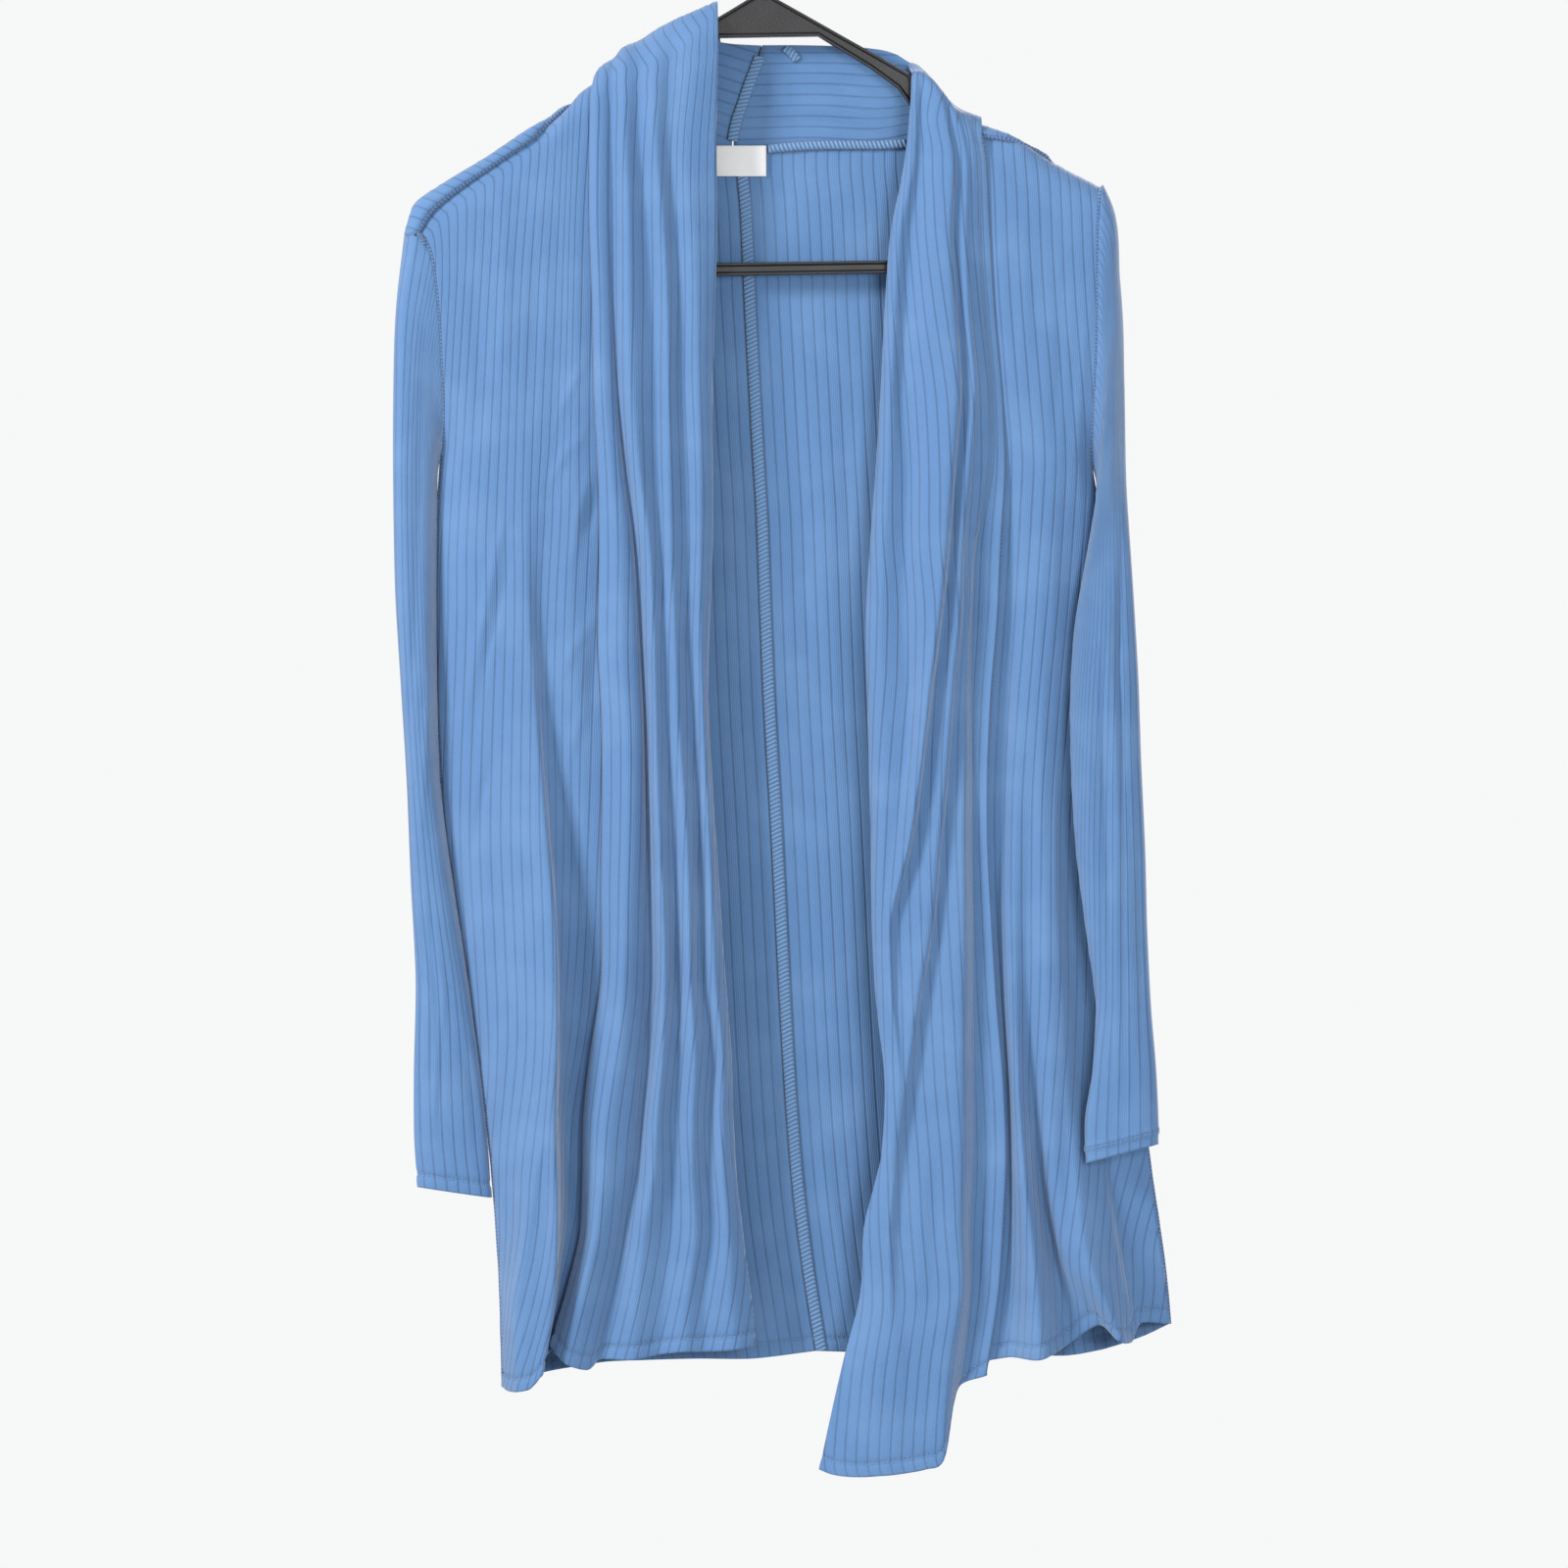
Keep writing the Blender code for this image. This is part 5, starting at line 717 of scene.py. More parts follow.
def sleeve_head(section):
    """A whole ring from its front half: the back half mirrors the depths."""
    rows, columns, depths = section
    whole_rows = rows + rows[-2:0:-1]
    whole_columns = columns + columns[-2:0:-1]
    whole_depths = depths + tuple(-depth for depth in depths[-2:0:-1])
    return whole_rows, whole_columns, whole_depths


def sleeve_level(outer, inner, half_thickness):
    """A flattened ring between the outer and the inner edge of a sleeve."""
    rows, columns, depths = [], [], []
    for i in range(SLEEVE_LINES):
        angle = 2 * math.pi * i / SLEEVE_LINES
        along = math.cos(angle)
        share = 0.5 - 0.5 * math.copysign(abs(along) ** SLEEVE_FULLNESS, along)
        bulge = math.copysign(abs(math.sin(angle)) ** SLEEVE_FULLNESS, math.sin(angle))
        rows.append(outer[0] + share * (inner[0] - outer[0]))
        columns.append(outer[1] + share * (inner[1] - outer[1]))
        middle = outer[2] + share * (inner[2] - outer[2])
        depths.append(middle - half_thickness * bulge)
    return tuple(rows), tuple(columns), tuple(depths)


def rib_heights(across, pitch, depth):
    """The knit's dropped-needle lines: a narrow groove once a pitch."""
    wave = 0.5 + 0.5 * np.cos(2 * np.pi * across / pitch)
    return -depth * wave ** GROOVE_SHARPNESS


def hem_heights(heights, sizes):
    """The turned hem: full below its twin stitching, and pulled in along the stitches."""
    first = sizes.hem_depth
    second = sizes.hem_depth - sizes.hem_gap
    pulled = np.exp(-((heights - first) / STITCH_PULL) ** 2)
    pulled += np.exp(-((heights - second) / STITCH_PULL) ** 2)
    full = 0.5 - 0.5 * np.tanh((heights - second + HEM_SWELL_END) / HEM_EASE)
    return sizes.hem_swell * full - sizes.stitch_sink * pulled


def mesh_from_grid(name, points, uv, closed=False):
    """A mesh grid moved onto a grid of points, with its cloth coordinates as a UV map."""
    rows, columns = points.shape[:2]
    grid = bmesh.new()
    bmesh.ops.create_grid(grid, x_segments=columns - 1, y_segments=rows - 1, size=0.5)
    data = bpy.data.meshes.new(name)
    grid.to_mesh(data)
    flat = np.empty(len(data.vertices) * 3, np.float32)
    data.vertices.foreach_get("co", flat)
    flat = flat.reshape(-1, 3)
    column = np.rint((flat[:, 0] + 0.5) * (columns - 1)).astype(int)
    row = np.rint((flat[:, 1] + 0.5) * (rows - 1)).astype(int)
    data.vertices.foreach_set("co", points[row, column].astype(np.float32).ravel())
    corners = np.empty(len(data.loops), np.int32)
    data.loops.foreach_get("vertex_index", corners)
    layer = data.uv_layers.new(name="cloth")
    layer.data.foreach_set("uv", uv[row[corners], column[corners]].astype(np.float32).ravel())
    grid.free()
    if closed:
        weld = bmesh.new()
        weld.from_mesh(data)
        bmesh.ops.remove_doubles(weld, verts=weld.verts, dist=1e-6)
        weld.to_mesh(data)
        weld.free()
    data.shade_smooth()
    return data


def add_piece(name, data, material, nodes=()):
    """A finished mesh as a piece that rides on the one body."""
    body = bpy.data.objects.new(name, data)
    bpy.context.scene.collection.objects.link(body)
    data.materials.clear()
    data.materials.append(material)
    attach(body, "root")
    if nodes:
        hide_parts(*nodes)
    return body


def add_wall(body, thickness):
    """Give a sheet its thickness, half to each side."""
    shell = body.modifiers.new("wall", "SOLIDIFY")
    shell.thickness = thickness
    shell.offset = 0.0


def add_cloth(name, node, table, closed=False, from_last=False, lean=0.0):
    """One cloth piece: its drafted folds, creases, ribs and hem, as a thin wall."""
    sizes = bpy.context.scene.cardigan_cloth
    drafted = np.array([section_points(section, len(table[0][1])) for section in table])
    down = smooth(drafted, sizes.spacing)
    width = smooth(np.swapaxes(down, 0, 1), sizes.spacing_across, closed)
    lower_stitches = sizes.hem_depth - sizes.hem_gap
    between = sizes.hem_depth - sizes.hem_gap / 2
    edge_rows = [*HEM_ROWS, lower_stitches, between, sizes.hem_depth, *ROWS_OVER_HEM]
    points, heights = even_rows(np.swapaxes(width, 0, 1), sizes.spacing, edge_rows)
    across = arc_lengths(np.swapaxes(points, 0, 1)).T
    if from_last:
        across = across[:, -1:] - across
    across = across + lean * heights
    normals = grid_normals(points, closed)
    lift = rib_heights(across, sizes.rib_pitch, sizes.rib_depth) + hem_heights(heights, sizes)
    points = points + normals * lift[..., None]
    points[..., 1] -= crease_heights(points, CREASES.get(name, ()))
    if closed:
        points[:, -1] = points[:, 0]
    sheets[name] = (points, heights, normals)
    data = mesh_from_grid(name, points, np.stack([across, heights], axis=-1), closed)
    body = add_piece(name, data, knit_material(), (node,))
    add_wall(body, sizes.wall)


class Number:
    """A number socket in a material, with the arithmetic that the materials use."""

    def __init__(self, finish, socket):
        self.finish = finish
        self.socket = socket

    def maths(self, operation, other=None, swapped=False):
        values = [self] if other is None else [self, other]
        if swapped:
            values.reverse()
        node = self.finish.add("ShaderNodeMath", {"operation": operation}, values)
        return Number(self.finish, node.outputs[0])

    def __add__(self, other):
        return self.maths("ADD", other)

    __radd__ = __add__

    def __sub__(self, other):
        return self.maths("SUBTRACT", other)

    def __rsub__(self, other):
        return self.maths("SUBTRACT", other, True)

    def __mul__(self, other):
        return self.maths("MULTIPLY", other)

    def __truediv__(self, other):
        return self.maths("DIVIDE", other)

    def __pow__(self, other):
        return self.maths("POWER", other)


class Finish:
    """A material whose nodes are added by type, settings and the values of their sockets."""

    def __init__(self, name):
        self.material = bpy.data.materials.new(name)
        self.material.use_nodes = True
        self.nodes = self.material.node_tree.nodes
        self.shader = self.nodes["Principled BSDF"]

    def add(self, kind, settings, sockets=()):
        node = self.nodes.new(kind)
        for key, value in settings.items():
            setattr(node, key, value)
        named = sockets.items() if isinstance(sockets, dict) else enumerate(sockets)
        for key, value in named:
            self.feed(node.inputs[key], value)
        return node

    def feed(self, socket, value):
        if isinstance(value, Number):
            value = value.socket
        if isinstance(value, bpy.types.NodeSocket):
            self.material.node_tree.links.new(value, socket)
        else:
            socket.default_value = value

    def number(self, node, output=0):
        return Number(self, node.outputs[output])

    def mix(self, factor, first, second):
        settings = {"data_type": "RGBA", "clamp_factor": True}
        return self.add("ShaderNodeMix", settings, {0: factor, 6: first, 7: second}).outputs[2]

    def surface(self, colour, roughness, **constants):
        self.feed(self.shader.inputs["Base Color"], colour)
        self.feed(self.shader.inputs["Roughness"], roughness)
        for key, value in constants.items():
            self.shader.inputs[key.replace("_", " ")].default_value = value

    def bump(self, height, distance, strength=1.0):
        node = self.add("ShaderNodeBump", {}, {"Height": height, "Distance": distance,
                                              "Strength": strength})
        self.feed(self.shader.inputs["Normal"], node.outputs["Normal"])


def cloth_axes(finish):
    """Metres across and up the cloth, from its own map."""
    coordinates = finish.add("ShaderNodeUVMap", {"uv_map": "cloth"})
    split = finish.add("ShaderNodeSeparateXYZ", {}, {0: coordinates.outputs[0]})
    return finish.number(split, 0), finish.number(split, 1)


def mottle(finish, scale, detail=2.0):
    """Soft uneven patches, read from the object's own place."""
    place_node = finish.add("ShaderNodeTexCoord", {})
    noise = finish.add("ShaderNodeTexNoise", {}, {"Vector": place_node.outputs["Object"],
                                                 "Scale": scale, "Detail": detail})
    return finish.number(noise)


def knit_material():
    """Blue rib knit: dropped-needle lines, fine wales of small stitches, a soft mottle, and
    painted shade in the lines, between the stitches and along the hem's upper stitch row.
    """
    made = bpy.data.materials.get("blue_rib_knit")
    if made:
        return made
    sizes = bpy.context.scene.cardigan_cloth
    finish = Finish("blue_rib_knit")
    across, up = cloth_axes(finish)
    line = ((across * (2 * math.pi / sizes.rib_pitch)).maths("COSINE") * 0.5 + 0.5) ** 16.0
    wale = (across * (2 * math.pi * 6 / sizes.rib_pitch)).maths("COSINE")
    course = (up * (2 * math.pi / sizes.course_pitch)).maths("SINE")
    stitch = wale * 0.5 + wale * course * 0.35
    fuzz = mottle(finish, 900.0)
    cloud = mottle(finish, 26.0)
    # Painted shade along the hem's upper stitch row, where the stitches pull the cloth in.
    below = (up * -1.0 + sizes.hem_depth).maths("ABSOLUTE")
    seam = (1.0 - below / STITCH_SHADE).maths("MAXIMUM", 0.0)
    # Painted shade: the colour goes towards the groove colour in the dropped-needle lines,
    # between the stitches and along the hem's upper stitch row.
    painted_groove_shade = line * 0.55 + (0.5 - stitch * 0.5) * 0.12 + seam * 0.25
    base = finish.mix(painted_groove_shade, (*sizes.colour, 1.0), (*sizes.groove_colour, 1.0))
    soft = finish.mix((cloud - 0.42) * 1.1, base, (*sizes.pale_colour, 1.0))
    pale = finish.mix((fuzz - 0.5) * 0.7, soft, (*sizes.pale_colour, 1.0))
    finish.surface(pale, 0.86 - line * 0.06, Sheen_Weight=0.25, Sheen_Roughness=0.45,
                   Specular_IOR_Level=0.25)
    finish.bump(stitch * 0.16 - line * 0.5 + fuzz * 0.25, 0.0007, 0.8)
    return finish.material


def plain_knit(name, tint, pitch):
    """Sewing thread or a serged edge: short slanted turns along the piece, with painted shade
    between the turns.
    """
    made = bpy.data.materials.get(name)
    if made:
        return made
    finish = Finish(name)
    across, up = cloth_axes(finish)
    turns = ((up * (2 * math.pi / pitch)) + across * (2 * math.pi / (pitch * 2.2)))
    ridge = turns.maths("SINE") * 0.5 + 0.5
    # Painted shade: the colour falls to half its tint down between the turns.
    painted_turn_shade = tuple(channel * 0.5 for channel in tint)
    finish.surface(finish.mix(ridge, (*painted_turn_shade, 1.0), (*tint, 1.0)), 0.85, Sheen_Weight=0.2)
    finish.bump(ridge, 0.0007)
    return finish.material


def thread_material():
    """Blue sewing thread, a little uneven."""
    made = bpy.data.materials.get("blue_thread")
    if made:
        return made
    sizes = bpy.context.scene.cardigan_cloth
    finish = Finish("blue_thread")
    shade = finish.mix(mottle(finish, 400.0), (*sizes.groove_colour, 1.0),
                       (*sizes.thread_colour, 1.0))
    finish.surface(shade, 0.6, Sheen_Weight=0.15)
    return finish.material


def label_material():
    """White woven tape with a fine weave."""
    finish = Finish("white_tape")
    across, up = cloth_axes(finish)
    weave = (across * 9000.0).maths("SINE") * (up * 9000.0).maths("SINE")
    shade = finish.mix(weave * 0.5 + 0.5, (0.42, 0.425, 0.43, 1.0), (0.5, 0.5, 0.5, 1.0))
    finish.surface(shade, 0.55, Sheen_Weight=0.1)
    finish.bump(weave, 0.0002, 0.5)
    return finish.material


def plastic_material():
    """Black moulded plastic, slightly uneven in its gloss."""
    sizes = bpy.context.scene.cardigan_hanger
    finish = Finish("black_moulding")
    patches = mottle(finish, 38.0, 4.0)
    grain = mottle(finish, 700.0)
    shade = finish.mix(patches * 0.6, (*sizes.colour, 1.0), (0.009, 0.009, 0.01, 1.0))
    finish.surface(shade, 0.24 + patches * 0.16, Specular_IOR_Level=0.3)
    finish.bump(grain, 0.0001, 0.5)
    return finish.material


# The sewing, in metres
STITCH_SHARE = 0.42          # half a stitch's length, as a share of the way to the next
RIBBON_LINES = 9             # mesh lines across a serged strip
RIBBON_WALL = 0.0008
CORD_LINES = 11              # mesh lines round a seam's cord, the last on the first
CORD_STEP = 0.003            # from one ring of a cord to the next
CORD_OVERLAP = 0.0004        # how far a cord sinks into the edges beside it
CORD_RADII = (0.0007, 0.0018)
CORD_PITCH = 0.0024          # of the slanted turns in its material
LABEL_WALL = 0.0006


def along_line(points, stops):
    """The points that lie at set distances along a line."""
    lengths = arc_lengths(points[:, None])[:, 0]
    return np.stack([np.interp(stops, lengths, points[:, k]) for k in range(3)], axis=1)


def line_length(points):
    return np.linalg.norm(np.diff(points, axis=0), axis=1).sum()


def stitch_run(mesh, centres, directions, sizes):
    """Short plump stitches end to end along a line, each turned along it."""
    for centre, direction in zip(centres, directions):
        turn = Vector(direction).to_track_quat("X", "Z").to_matrix().to_4x4()
        half = sizes.stitch_length * STITCH_SHARE
        shape = Matrix.Diagonal((half, sizes.thread, sizes.thread, 1))
        bmesh.ops.create_icosphere(mesh, subdivisions=1, radius=1.0,
                                   matrix=Matrix.Translation(centre) @ turn @ shape)


def spaced(points, normals, pitch):
    """Points a pitch apart along a line, with its directions and its normals there."""
    lengths = arc_lengths(points[:, None])[:, 0]
    stops = np.arange(pitch, lengths[-1] - pitch, pitch)
    facing = np.stack([np.interp(stops, lengths, normals[:, k]) for k in range(3)], axis=1)
    placed = along_line(points, stops)
    return placed, along_line(points, stops + pitch / 3) - placed, facing


def add_hem_stitches():
    """Twin stitching on both faces of every hem."""
    sizes = bpy.context.scene.cardigan_cloth
    mesh = bmesh.new()
    for points, heights, normals in sheets.values():
        for height in (sizes.hem_depth, sizes.hem_depth - sizes.hem_gap):
            row = int(np.argmin(np.abs(heights[:, 0] - height)))
            line, directions, facing = spaced(points[row], normals[row], sizes.stitch_length)
            for side in (-1, 1):
                lifted = line + facing * side * (sizes.wall / 2 + sizes.thread * 0.5)
                stitch_run(mesh, lifted, directions, sizes)
    data = bpy.data.meshes.new("hem_stitches")
    mesh.to_mesh(data)
    mesh.free()
    data.shade_smooth()
    add_piece("hem_stitches", data, thread_material())


def add_ribbon(name, centres, across, width, rise, pitch):
    """A serged strip along a line, rounded over its width and raised towards the viewer."""
    stops = np.arange(0, line_length(centres), pitch / 2)
    line = along_line(centres, stops)
    share = np.linspace(-1, 1, RIBBON_LINES)
    waver = 1 + 0.12 * np.sin(2 * np.pi * stops / pitch)[:, None]
    lateral = (share[None, :] * width / 2 * waver)[..., None] * np.array(across)
    ridge = 0.25 * np.sin(2 * np.pi * (stops[:, None] / pitch + share[None, :] * 0.45))
    lift = (rise * (1 + ridge) * np.sqrt(1 - 0.96 * share[None, :] ** 2))[..., None]
    points = line[:, None, :] + lateral + lift * np.array((0, -1, 0))
    uv = np.stack(np.broadcast_arrays(share * width / 2, stops[:, None]), axis=-1)
    data = mesh_from_grid(name, points, uv)
    sizes = bpy.context.scene.cardigan_cloth
    material = plain_knit("serging", tuple(sizes.thread_colour), pitch)
    add_wall(add_piece(name, data, material), RIBBON_WALL)


def even_line(points, pitch):
    """A line with its points about a pitch apart."""
    length = line_length(points)
    return along_line(points, np.linspace(0, length, max(3, int(length / pitch))))


def add_seam(name, first, second):
    """A soft cord that closes the gap between two sewn edges where they run together."""
    sizes = bpy.context.scene.cardigan_cloth
    first = even_line(first, CORD_STEP)
    second = even_line(second, CORD_STEP / 6)
    gaps = np.linalg.norm(first[:, None] - second[None], axis=-1)
    near = np.flatnonzero(gaps.min(axis=1) < sizes.seam_reach)
    if len(near) < 4:
        raise ValueError(name + " has no edges that run together")
    near = np.arange(near[0], near[-1] + 1)
    partner = second[gaps[near].argmin(axis=1)]
    middle = (first[near] + partner) / 2
    middle[1:-1] = (middle[:-2] + middle[1:-1] + middle[2:]) / 3
    radius = np.clip(gaps[near].min(axis=1) / 2 + CORD_OVERLAP, *CORD_RADII)
    along = np.gradient(middle, axis=0)
    along /= np.linalg.norm(along, axis=1, keepdims=True)
    aside = np.cross(along, (1.0, 0.0, 0.0))
    aside /= np.linalg.norm(aside, axis=1, keepdims=True)
    outward = np.cross(along, aside)
    turns = np.linspace(0, 2 * math.pi, CORD_LINES)[None, :, None]
    ring = np.cos(turns) * aside[:, None] + np.sin(turns) * outward[:, None]
    points = middle[:, None] + ring * radius[:, None, None]
    lengths = np.linspace(0, CORD_STEP * len(middle), len(middle))[:, None]
    uv = np.stack(np.broadcast_arrays(turns[..., 0] * 0.0003, lengths), axis=-1)
    data = mesh_from_grid(name, points, uv, True)
    add_piece(name, data, plain_knit("seam", tuple(sizes.seam_colour), CORD_PITCH))


def add_seams():
    """The side, shoulder, armhole, band and centre seams between the pieces."""
    edges = {name: sheet[0] for name, sheet in sheets.items()}
    for side, front_side, band in (("right", 0, -1), ("left", -1, 0)):
        front, back = edges[side + "_front"], edges[side + "_back"]
        sleeve, drape = edges[side + "_sleeve"], edges[side + "_drape"]
        upper = front.shape[0] // 2
        add_seam(side + "_side_seam", front[:, front_side], back[:, front_side])
        add_seam(side + "_shoulder_seam", front[-1], back[-1])
        add_seam(side + "_front_armhole_seam", front[upper:, front_side], sleeve[-1])
        add_seam(side + "_back_armhole_seam", back[upper:, front_side], sleeve[-1])
        add_seam(side + "_band_seam", front[:, band], drape[:, front_side])
    add_seam("centre_back_seam", edges["right_back"][:, -1], edges["left_back"][:, 0])


def grid_line(corners):
    """A smooth line through points given as their column, row and depth."""
    points = np.array([[place(*corner)] for corner in corners])
    return smooth(points, 0.004)[:, 0]


def add_serging():
    """The serged seam allowances that show inside the back and the collar."""
    beside_seam = sheets["left_back"][0][::-1, 1] + (0.0018, -0.0008, 0.0)
    label_foot = place(0, 176, 0)[2]
    below_label = beside_seam[beside_seam[:, 2] < label_foot]
    add_ribbon("centre_back_serging", below_label, (1, 0, 0), width=0.0064, rise=0.0009,
               pitch=0.0026)
    collar = grid_line(((775, 56, 13.4), (768, 74, 13.6), (762, 90, 13.5), (757, 105, 13.2),
                        (751, 122, 12.8), (747, 143, 12.4)))
    add_ribbon("collar_serging", collar, (0.97, 0, -0.24), width=0.006, rise=0.0009,
               pitch=0.0026)
    neck = grid_line(((784, 151, 10.6), (806, 149, 10.5), (830, 147.5, 10.4), (865, 147, 10.2),
                      (900, 147, 10.0), (926, 145.5, 9.8)))
    add_ribbon("neck_seam_serging", neck, (0.05, 0, 1), width=0.0048, rise=0.0022,
               pitch=0.0032)
    knot = grid_line(((801, 47, 13.6), (806, 51, 13.3), (811, 56, 13.1), (814, 61, 13.0)))
    add_ribbon("collar_thread_end", knot, (0.8, 0, 0.6), width=0.005, rise=0.0006,
               pitch=0.0018)


def add_label():
    """The bare white woven label: a thin sheet, bowed towards the viewer at its foot and
    slightly rippled.
    """
    low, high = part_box("neck_label")
    rows, columns = 17, 33
    share_x = np.linspace(0, 1, columns)[None, :]
    share_z = np.linspace(0, 1, rows)[:, None]
    x = low.x + share_x * (high.x - low.x) + 0 * share_z
    z = low.z + share_z * (high.z - low.z) + 0 * share_x
    bow = 0.0006 * np.sin(np.pi * share_x) * (1 - share_z)
    y = (low.y + high.y) / 2 - bow + 0.00025 * np.sin(9 * share_x + 4 * share_z)
    points = np.stack([x, y, z], axis=-1)
    uv = np.stack(np.broadcast_arrays(x - low.x, z - low.z), axis=-1)
    body = add_piece("woven_label", mesh_from_grid("woven_label", points, uv),
                     label_material(), ("neck_label",))
    add_wall(body, LABEL_WALL)


def hanger_loops():
    """The outer and inner edges of the moulding all the way round, as columns and rows."""
    loops = []
    for k in range(2):
        half = [pair[k] for pair in HANGER_EDGES]
        loops.append(half + [(-column, row) for column, row in half[-2:0:-1]])
    return loops


def add_hanger():
    """The black moulding with raised rims round a sunk web, and its round hook."""
    sizes = bpy.context.scene.cardigan_hanger
    half = sizes.half_thickness
    mesh = bmesh.new()
    rings = []
    for loop in hanger_loops():
        ring = []
        for column, row in loop:
            x, _, z = place(CENTRE_COLUMN + column, row, 0)
            ring.append(mesh.verts.new((x, -half, z)))
        rings.append(ring)
    for i in range(len(rings[0])):
        j = (i + 1) % len(rings[0])
        mesh.faces.new((rings[0][i], rings[0][j], rings[1][j], rings[1][i]))
    front = mesh.faces[:]
    grown = bmesh.ops.extrude_face_region(mesh, geom=front)
    moved = [part for part in grown["geom"] if isinstance(part, bmesh.types.BMVert)]
    bmesh.ops.translate(mesh, vec=(0.0, 2 * half, 0.0), verts=moved)
    bmesh.ops.recalc_face_normals(mesh, faces=mesh.faces[:])
    for side in (-1, 1):
        faces = [face for face in mesh.faces if face.normal.y * side > 0.9]
        bmesh.ops.inset_region(mesh, faces=faces, thickness=sizes.rim, depth=0.0,
                               use_boundary=True, use_even_offset=True)
        bmesh.ops.inset_region(mesh, faces=faces, thickness=sizes.rim / 3, depth=-sizes.sink,
                               use_boundary=True, use_even_offset=True)
    apex = place(CENTRE_COLUMN, 0, 0)
    turn = Matrix.Translation(apex) @ Matrix.Rotation(-HANGER_TILT, 4, "Y")
    bmesh.ops.transform(mesh, matrix=turn @ Matrix.Translation((0, 0, -apex[2])),
                        verts=mesh.verts)
    data = bpy.data.meshes.new("hanger_moulding")
    mesh.to_mesh(data)
    mesh.free()
    data.set_sharp_from_angle(angle=math.radians(35))
    body = add_piece("hanger_moulding", data, plastic_material(), ("hanger",))
    soft = body.modifiers.new("soft_edges", "BEVEL")
    soft.width = sizes.edge
    soft.segments = 2
    soft.limit_method = "ANGLE"
    soft.angle_limit = math.radians(40)
    add_hook()


def add_hook():
    """The round rod of the hook on its cranked stem."""
    sizes = bpy.context.scene.cardigan_hanger
    centre = sizes.rod - sizes.hook
    route = [(across * sizes.hook, centre + up * sizes.hook) for across, up in HOOK_STEM]
    first, last, count = HOOK_ARC
    for i in range(count + 1):
        angle = math.radians(first + (last - first) * i / count)
        route.append((sizes.hook * math.cos(angle), centre + sizes.hook * math.sin(angle)))
    curve = bpy.data.curves.new("hook", "CURVE")
    curve.dimensions = "3D"
    curve.bevel_depth = sizes.rod
    curve.bevel_resolution = 6
    curve.use_fill_caps = True
    spline = curve.splines.new("POLY")
    spline.points.add(len(route) - 1)
    for point, (x, z) in zip(spline.points, route):
        point.co = (x, 0.0, z, 1.0)
    guide = bpy.data.objects.new("hook_guide", curve)
    bpy.context.scene.collection.objects.link(guide)
    graph = bpy.context.evaluated_depsgraph_get()
    data = bpy.data.meshes.new_from_object(guide.evaluated_get(graph))
    bpy.data.objects.remove(guide)
    data.shade_smooth()
    add_piece("hook_rod", data, plastic_material())


FLOOR_HALF_SIDE = 2.4
FLOOR_COLOUR = (0.4, 0.4, 0.4, 1.0)
SURROUND_COLOUR = (0.93, 0.935, 0.94, 1.0)
SENSOR_WIDTH = 36.0          # in millimetres, as is the lens

# Lamps: name, the setting of its power, side in metres, place
LAMPS = (
    ("key", "key_power", 0.8, (-2.6, -1.7, 0.9)),
    ("fill", "fill_power", 1.0, (1.1, -3.2, -0.3)),
    ("back", "back_power", 1.6, (0.8, 2.4, 0.9)),
)


def add_stage():
    """Pale floor, soft studio light and the camera at the photograph's angle."""
    sizes = bpy.context.scene.cardigan_stage
    scene = bpy.context.scene
    scene.view_settings.view_transform = "Standard"
    world = bpy.data.worlds.new("studio")
    world.use_nodes = True
    background = world.node_tree.nodes["Background"]
    background.inputs["Color"].default_value = SURROUND_COLOUR
    background.inputs["Strength"].default_value = sizes.ambient
    scene.world = world
    target = Vector(place(VIEW_SIDE / 2, VIEW_SIDE / 2, 0))
    floor_mesh = bmesh.new()
    bmesh.ops.create_grid(floor_mesh, x_segments=2, y_segments=2, size=FLOOR_HALF_SIDE)
    floor_data = bpy.data.meshes.new("floor")
    floor_mesh.to_mesh(floor_data)
    floor_mesh.free()
    floor = bpy.data.objects.new("floor", floor_data)
    floor.location = (target.x, 0.0, SOLID_BOX[0][2] - sizes.floor_drop)
    scene.collection.objects.link(floor)
    pale = Finish("pale_floor")
    pale.surface(FLOOR_COLOUR, 0.8)
    floor_data.materials.append(pale.material)
    lens = bpy.data.cameras.new("camera")
    lens.sensor_width = SENSOR_WIDTH
    lens.lens = SENSOR_WIDTH * sizes.camera_distance / (VIEW_SIDE * STEP)
    lens.clip_end = 50.0
    camera = bpy.data.objects.new("camera", lens)
    camera.location = (target.x, -sizes.camera_distance, target.z)
    camera.rotation_euler = (math.radians(90), 0.0, 0.0)
    scene.collection.objects.link(camera)
    scene.camera = camera
    for name, power, size, spot in LAMPS:
        lamp = bpy.data.lights.new(name, "AREA")
        lamp.energy = getattr(sizes, power)
        lamp.size = size
        light = bpy.data.objects.new(name, lamp)
        light.location = spot
        light.rotation_euler = (target - Vector(spot)).to_track_quat("-Z", "Y").to_euler()
        scene.collection.objects.link(light)


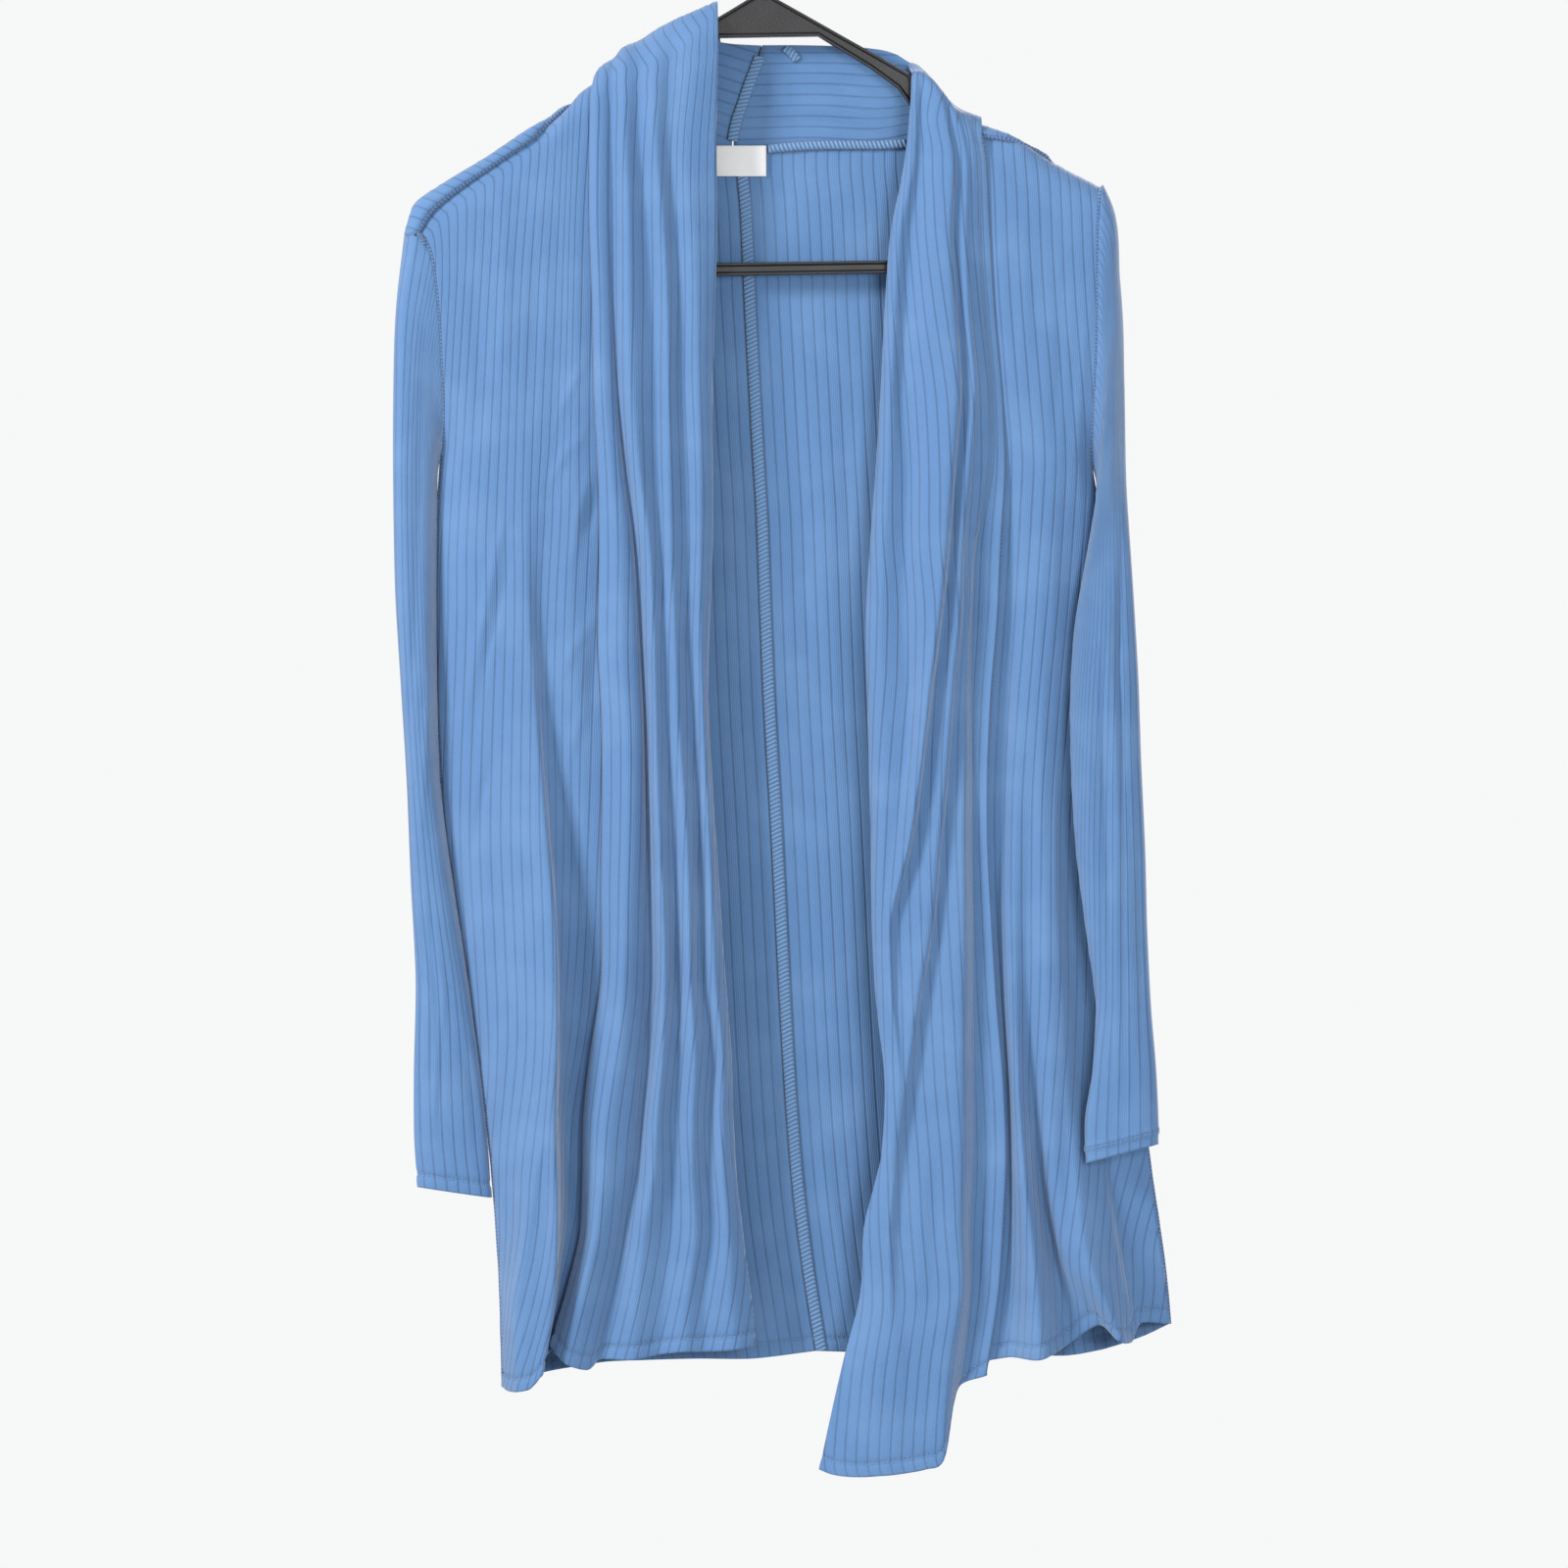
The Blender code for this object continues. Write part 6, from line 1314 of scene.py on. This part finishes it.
class ClothSizes(bpy.types.PropertyGroup):
    """Sizes and colours of the knitted cloth."""

    wall: FloatProperty(name="Wall", description="Thickness of one layer of knit",
                        default=0.0013, unit="LENGTH")
    spacing: FloatProperty(name="Spacing down", description="Distance between mesh rows",
                           default=0.0042, unit="LENGTH")
    spacing_across: FloatProperty(name="Spacing across", default=0.0016, unit="LENGTH",
                                  description="Distance between mesh columns")
    rib_pitch: FloatProperty(name="Rib pitch", default=0.007, unit="LENGTH",
                             description="From one dropped-needle line to the next")
    rib_depth: FloatProperty(name="Rib depth", default=0.00022, unit="LENGTH",
                             description="How far each line sinks in")
    course_pitch: FloatProperty(name="Course pitch", default=0.0011, unit="LENGTH",
                                description="Height of one row of stitches")
    hem_depth: FloatProperty(name="Hem depth", default=0.0095, unit="LENGTH",
                             description="From the edge up to the upper stitch row")
    hem_gap: FloatProperty(name="Twin gap", default=0.0018, unit="LENGTH",
                           description="Between the two rows of stitches")
    hem_swell: FloatProperty(name="Hem swell", default=0.0004, unit="LENGTH",
                             description="How far the double cloth of the hem stands out")
    stitch_sink: FloatProperty(name="Stitch sink", default=0.0005, unit="LENGTH",
                               description="How far the stitches pull the cloth in")
    stitch_length: FloatProperty(name="Stitch length", default=0.003, unit="LENGTH",
                                 description="From one stitch to the next")
    thread: FloatProperty(name="Thread", default=0.00028, unit="LENGTH",
                          description="Half the thickness of the sewing thread")
    seam_reach: FloatProperty(name="Seam reach", default=0.006, unit="LENGTH",
                              description="Widest gap between two sewn edges")
    seam_colour: FloatVectorProperty(name="Seam colour", subtype="COLOR",
                                     description="The cloth down in a seam",
                                     default=(0.05, 0.115, 0.25))
    colour: FloatVectorProperty(name="Cloth colour", description="Lit face of the knit",
                                default=(0.052, 0.116, 0.236), subtype="COLOR")
    # Painted shade: the knit's colour goes towards this in its rib lines, between its stitches
    # and along the hem's upper stitch row; the sewing thread takes it as the dark end of its
    # uneven tone.
    groove_colour: FloatVectorProperty(name="Groove colour", subtype="COLOR",
                                       description="Down in the lines and between stitches",
                                       default=(0.016, 0.038, 0.09))
    pale_colour: FloatVectorProperty(name="Pale colour", description="Faded fibre ends",
                                     default=(0.082, 0.155, 0.28), subtype="COLOR")
    thread_colour: FloatVectorProperty(name="Thread colour", description="Sewing thread",
                                       default=(0.085, 0.18, 0.34), subtype="COLOR")


class HangerSizes(bpy.types.PropertyGroup):
    """Sizes and colour of the moulded hanger."""

    half_thickness: FloatProperty(name="Half thickness", default=0.0045, unit="LENGTH",
                                  description="From the moulding's middle to its face")
    rim: FloatProperty(name="Rim", description="Width of the raised rim", default=0.0016,
                       unit="LENGTH")
    sink: FloatProperty(name="Sink", description="Depth of the web below the rim",
                        default=0.0018, unit="LENGTH")
    edge: FloatProperty(name="Edge", description="Radius of the moulded edges",
                        default=0.0005, unit="LENGTH")
    rod: FloatProperty(name="Rod", description="Radius of the hook's rod", default=0.0034,
                       unit="LENGTH")
    hook: FloatProperty(name="Hook", description="Radius of the hook's round", default=0.0215,
                        unit="LENGTH")
    colour: FloatVectorProperty(name="Plastic colour", description="Moulded plastic",
                                default=(0.008, 0.008, 0.009), subtype="COLOR")


class StageSizes(bpy.types.PropertyGroup):
    """The floor, the camera and the studio light."""

    floor_drop: FloatProperty(name="Floor drop", default=0.3, unit="LENGTH",
                              description="From the lowest corner down to the floor")
    camera_distance: FloatProperty(name="Camera distance", default=6.0, unit="LENGTH",
                                   description="From the camera to the garment")
    ambient: FloatProperty(name="Ambient", description="Strength of the surround",
                           default=1.0)
    key_power: FloatProperty(name="Key light", description="Front light from the viewer's left",
                             default=200.0, unit="POWER")
    fill_power: FloatProperty(name="Fill light", description="Front light from the right",
                              default=100.0, unit="POWER")
    back_power: FloatProperty(name="Back light", description="Light on the hidden side",
                              default=70.0, unit="POWER")


class CARDIGAN_OT_fronts(bpy.types.Operator):
    """Hang the two fronts"""

    bl_idname = "cardigan.fronts"
    bl_label = "Fronts"

    def execute(self, context):
        add_cloth("right_front", "front_right", FRONT_RIGHT,
                  from_last=True, lean=0.05)
        add_cloth("left_front", "front_left", FRONT_LEFT)
        return {"FINISHED"}


class CARDIGAN_OT_backs(bpy.types.Operator):
    """Hang the two halves of the back"""

    bl_idname = "cardigan.backs"
    bl_label = "Backs"

    def execute(self, context):
        right = back_table(BACK_RIGHT_TOP, BACK_RIGHT_LEVELS, BACK_RIGHT_SHARES, BACK_RIGHT_HEM)
        add_cloth("right_back", "back_right", right,
                  from_last=True)
        top = reverse_lines(BACK_LEFT_TOP)
        hem = reverse_lines([BACK_LEFT_HEM])[0]
        left = back_table(top, BACK_LEFT_LEVELS, BACK_LEFT_SHARES, hem)
        add_cloth("left_back", "back_left", reverse_lines(left))
        return {"FINISHED"}


class CARDIGAN_OT_drapes(bpy.types.Operator):
    """Hang the two cascade bands with their halves of the collar"""

    bl_idname = "cardigan.drapes"
    bl_label = "Drapes"

    def execute(self, context):
        add_cloth("right_drape", "drape_right", DRAPE_RIGHT)
        add_cloth("left_drape", "drape_left", DRAPE_LEFT,
                  from_last=True)
        return {"FINISHED"}


class CARDIGAN_OT_sleeves(bpy.types.Operator):
    """Hang the two sleeves from their armholes"""

    bl_idname = "cardigan.sleeves"
    bl_label = "Sleeves"

    def execute(self, context):
        for name, node, head, levels in (
            ("right_sleeve", "sleeve_right", SLEEVE_RIGHT_HEAD, SLEEVE_RIGHT_LEVELS),
            ("left_sleeve", "sleeve_left", SLEEVE_LEFT_HEAD, SLEEVE_LEFT_LEVELS),
        ):
            table = [sleeve_head(section) for section in head]
            table += [sleeve_level(*level) for level in levels]
            add_cloth(name, node, table, closed=True)
        return {"FINISHED"}


class CARDIGAN_OT_sewing(bpy.types.Operator):
    """Sew the hems, the serged seams and the label"""

    bl_idname = "cardigan.sewing"
    bl_label = "Sewing"

    def execute(self, context):
        add_hem_stitches()
        add_seams()
        add_serging()
        add_label()
        return {"FINISHED"}


class CARDIGAN_OT_hanger(bpy.types.Operator):
    """Mould the hanger and its hook"""

    bl_idname = "cardigan.hanger"
    bl_label = "Hanger"

    def execute(self, context):
        add_hanger()
        return {"FINISHED"}


class CARDIGAN_OT_stage(bpy.types.Operator):
    """Set the floor, the light and the camera"""

    bl_idname = "cardigan.stage"
    bl_label = "Stage"

    def execute(self, context):
        add_stage()
        return {"FINISHED"}


GROUPS = {"cardigan_cloth": ClothSizes, "cardigan_hanger": HangerSizes,
          "cardigan_stage": StageSizes}
OPERATORS = (CARDIGAN_OT_stage, CARDIGAN_OT_fronts, CARDIGAN_OT_backs, CARDIGAN_OT_drapes,
             CARDIGAN_OT_sleeves, CARDIGAN_OT_sewing, CARDIGAN_OT_hanger)


class CARDIGAN_PT_panel(bpy.types.Panel):
    """The cardigan's pieces, in the order in which they are made"""

    bl_idname = "CARDIGAN_PT_panel"
    bl_label = "Draped cardigan"
    bl_space_type = "VIEW_3D"
    bl_region_type = "UI"
    bl_category = "Cardigan"

    def draw(self, context):
        for operator in OPERATORS:
            self.layout.operator(operator.bl_idname)
        for group in GROUPS:
            sizes = getattr(context.scene, group)
            for name in sizes.__annotations__:
                self.layout.prop(sizes, name)


CLASSES = (*GROUPS.values(), *OPERATORS, CARDIGAN_PT_panel)


def register():
    for kind in CLASSES:
        bpy.utils.register_class(kind)
    for name, kind in GROUPS.items():
        setattr(bpy.types.Scene, name, PointerProperty(type=kind))


def unregister():
    for name in GROUPS:
        delattr(bpy.types.Scene, name)
    for kind in reversed(CLASSES):
        bpy.utils.unregister_class(kind)


def main():
    register()
    for operator in OPERATORS:
        group, name = operator.bl_idname.split(".")
        getattr(getattr(bpy.ops, group), name)()


if __name__ == "__main__":
    main()
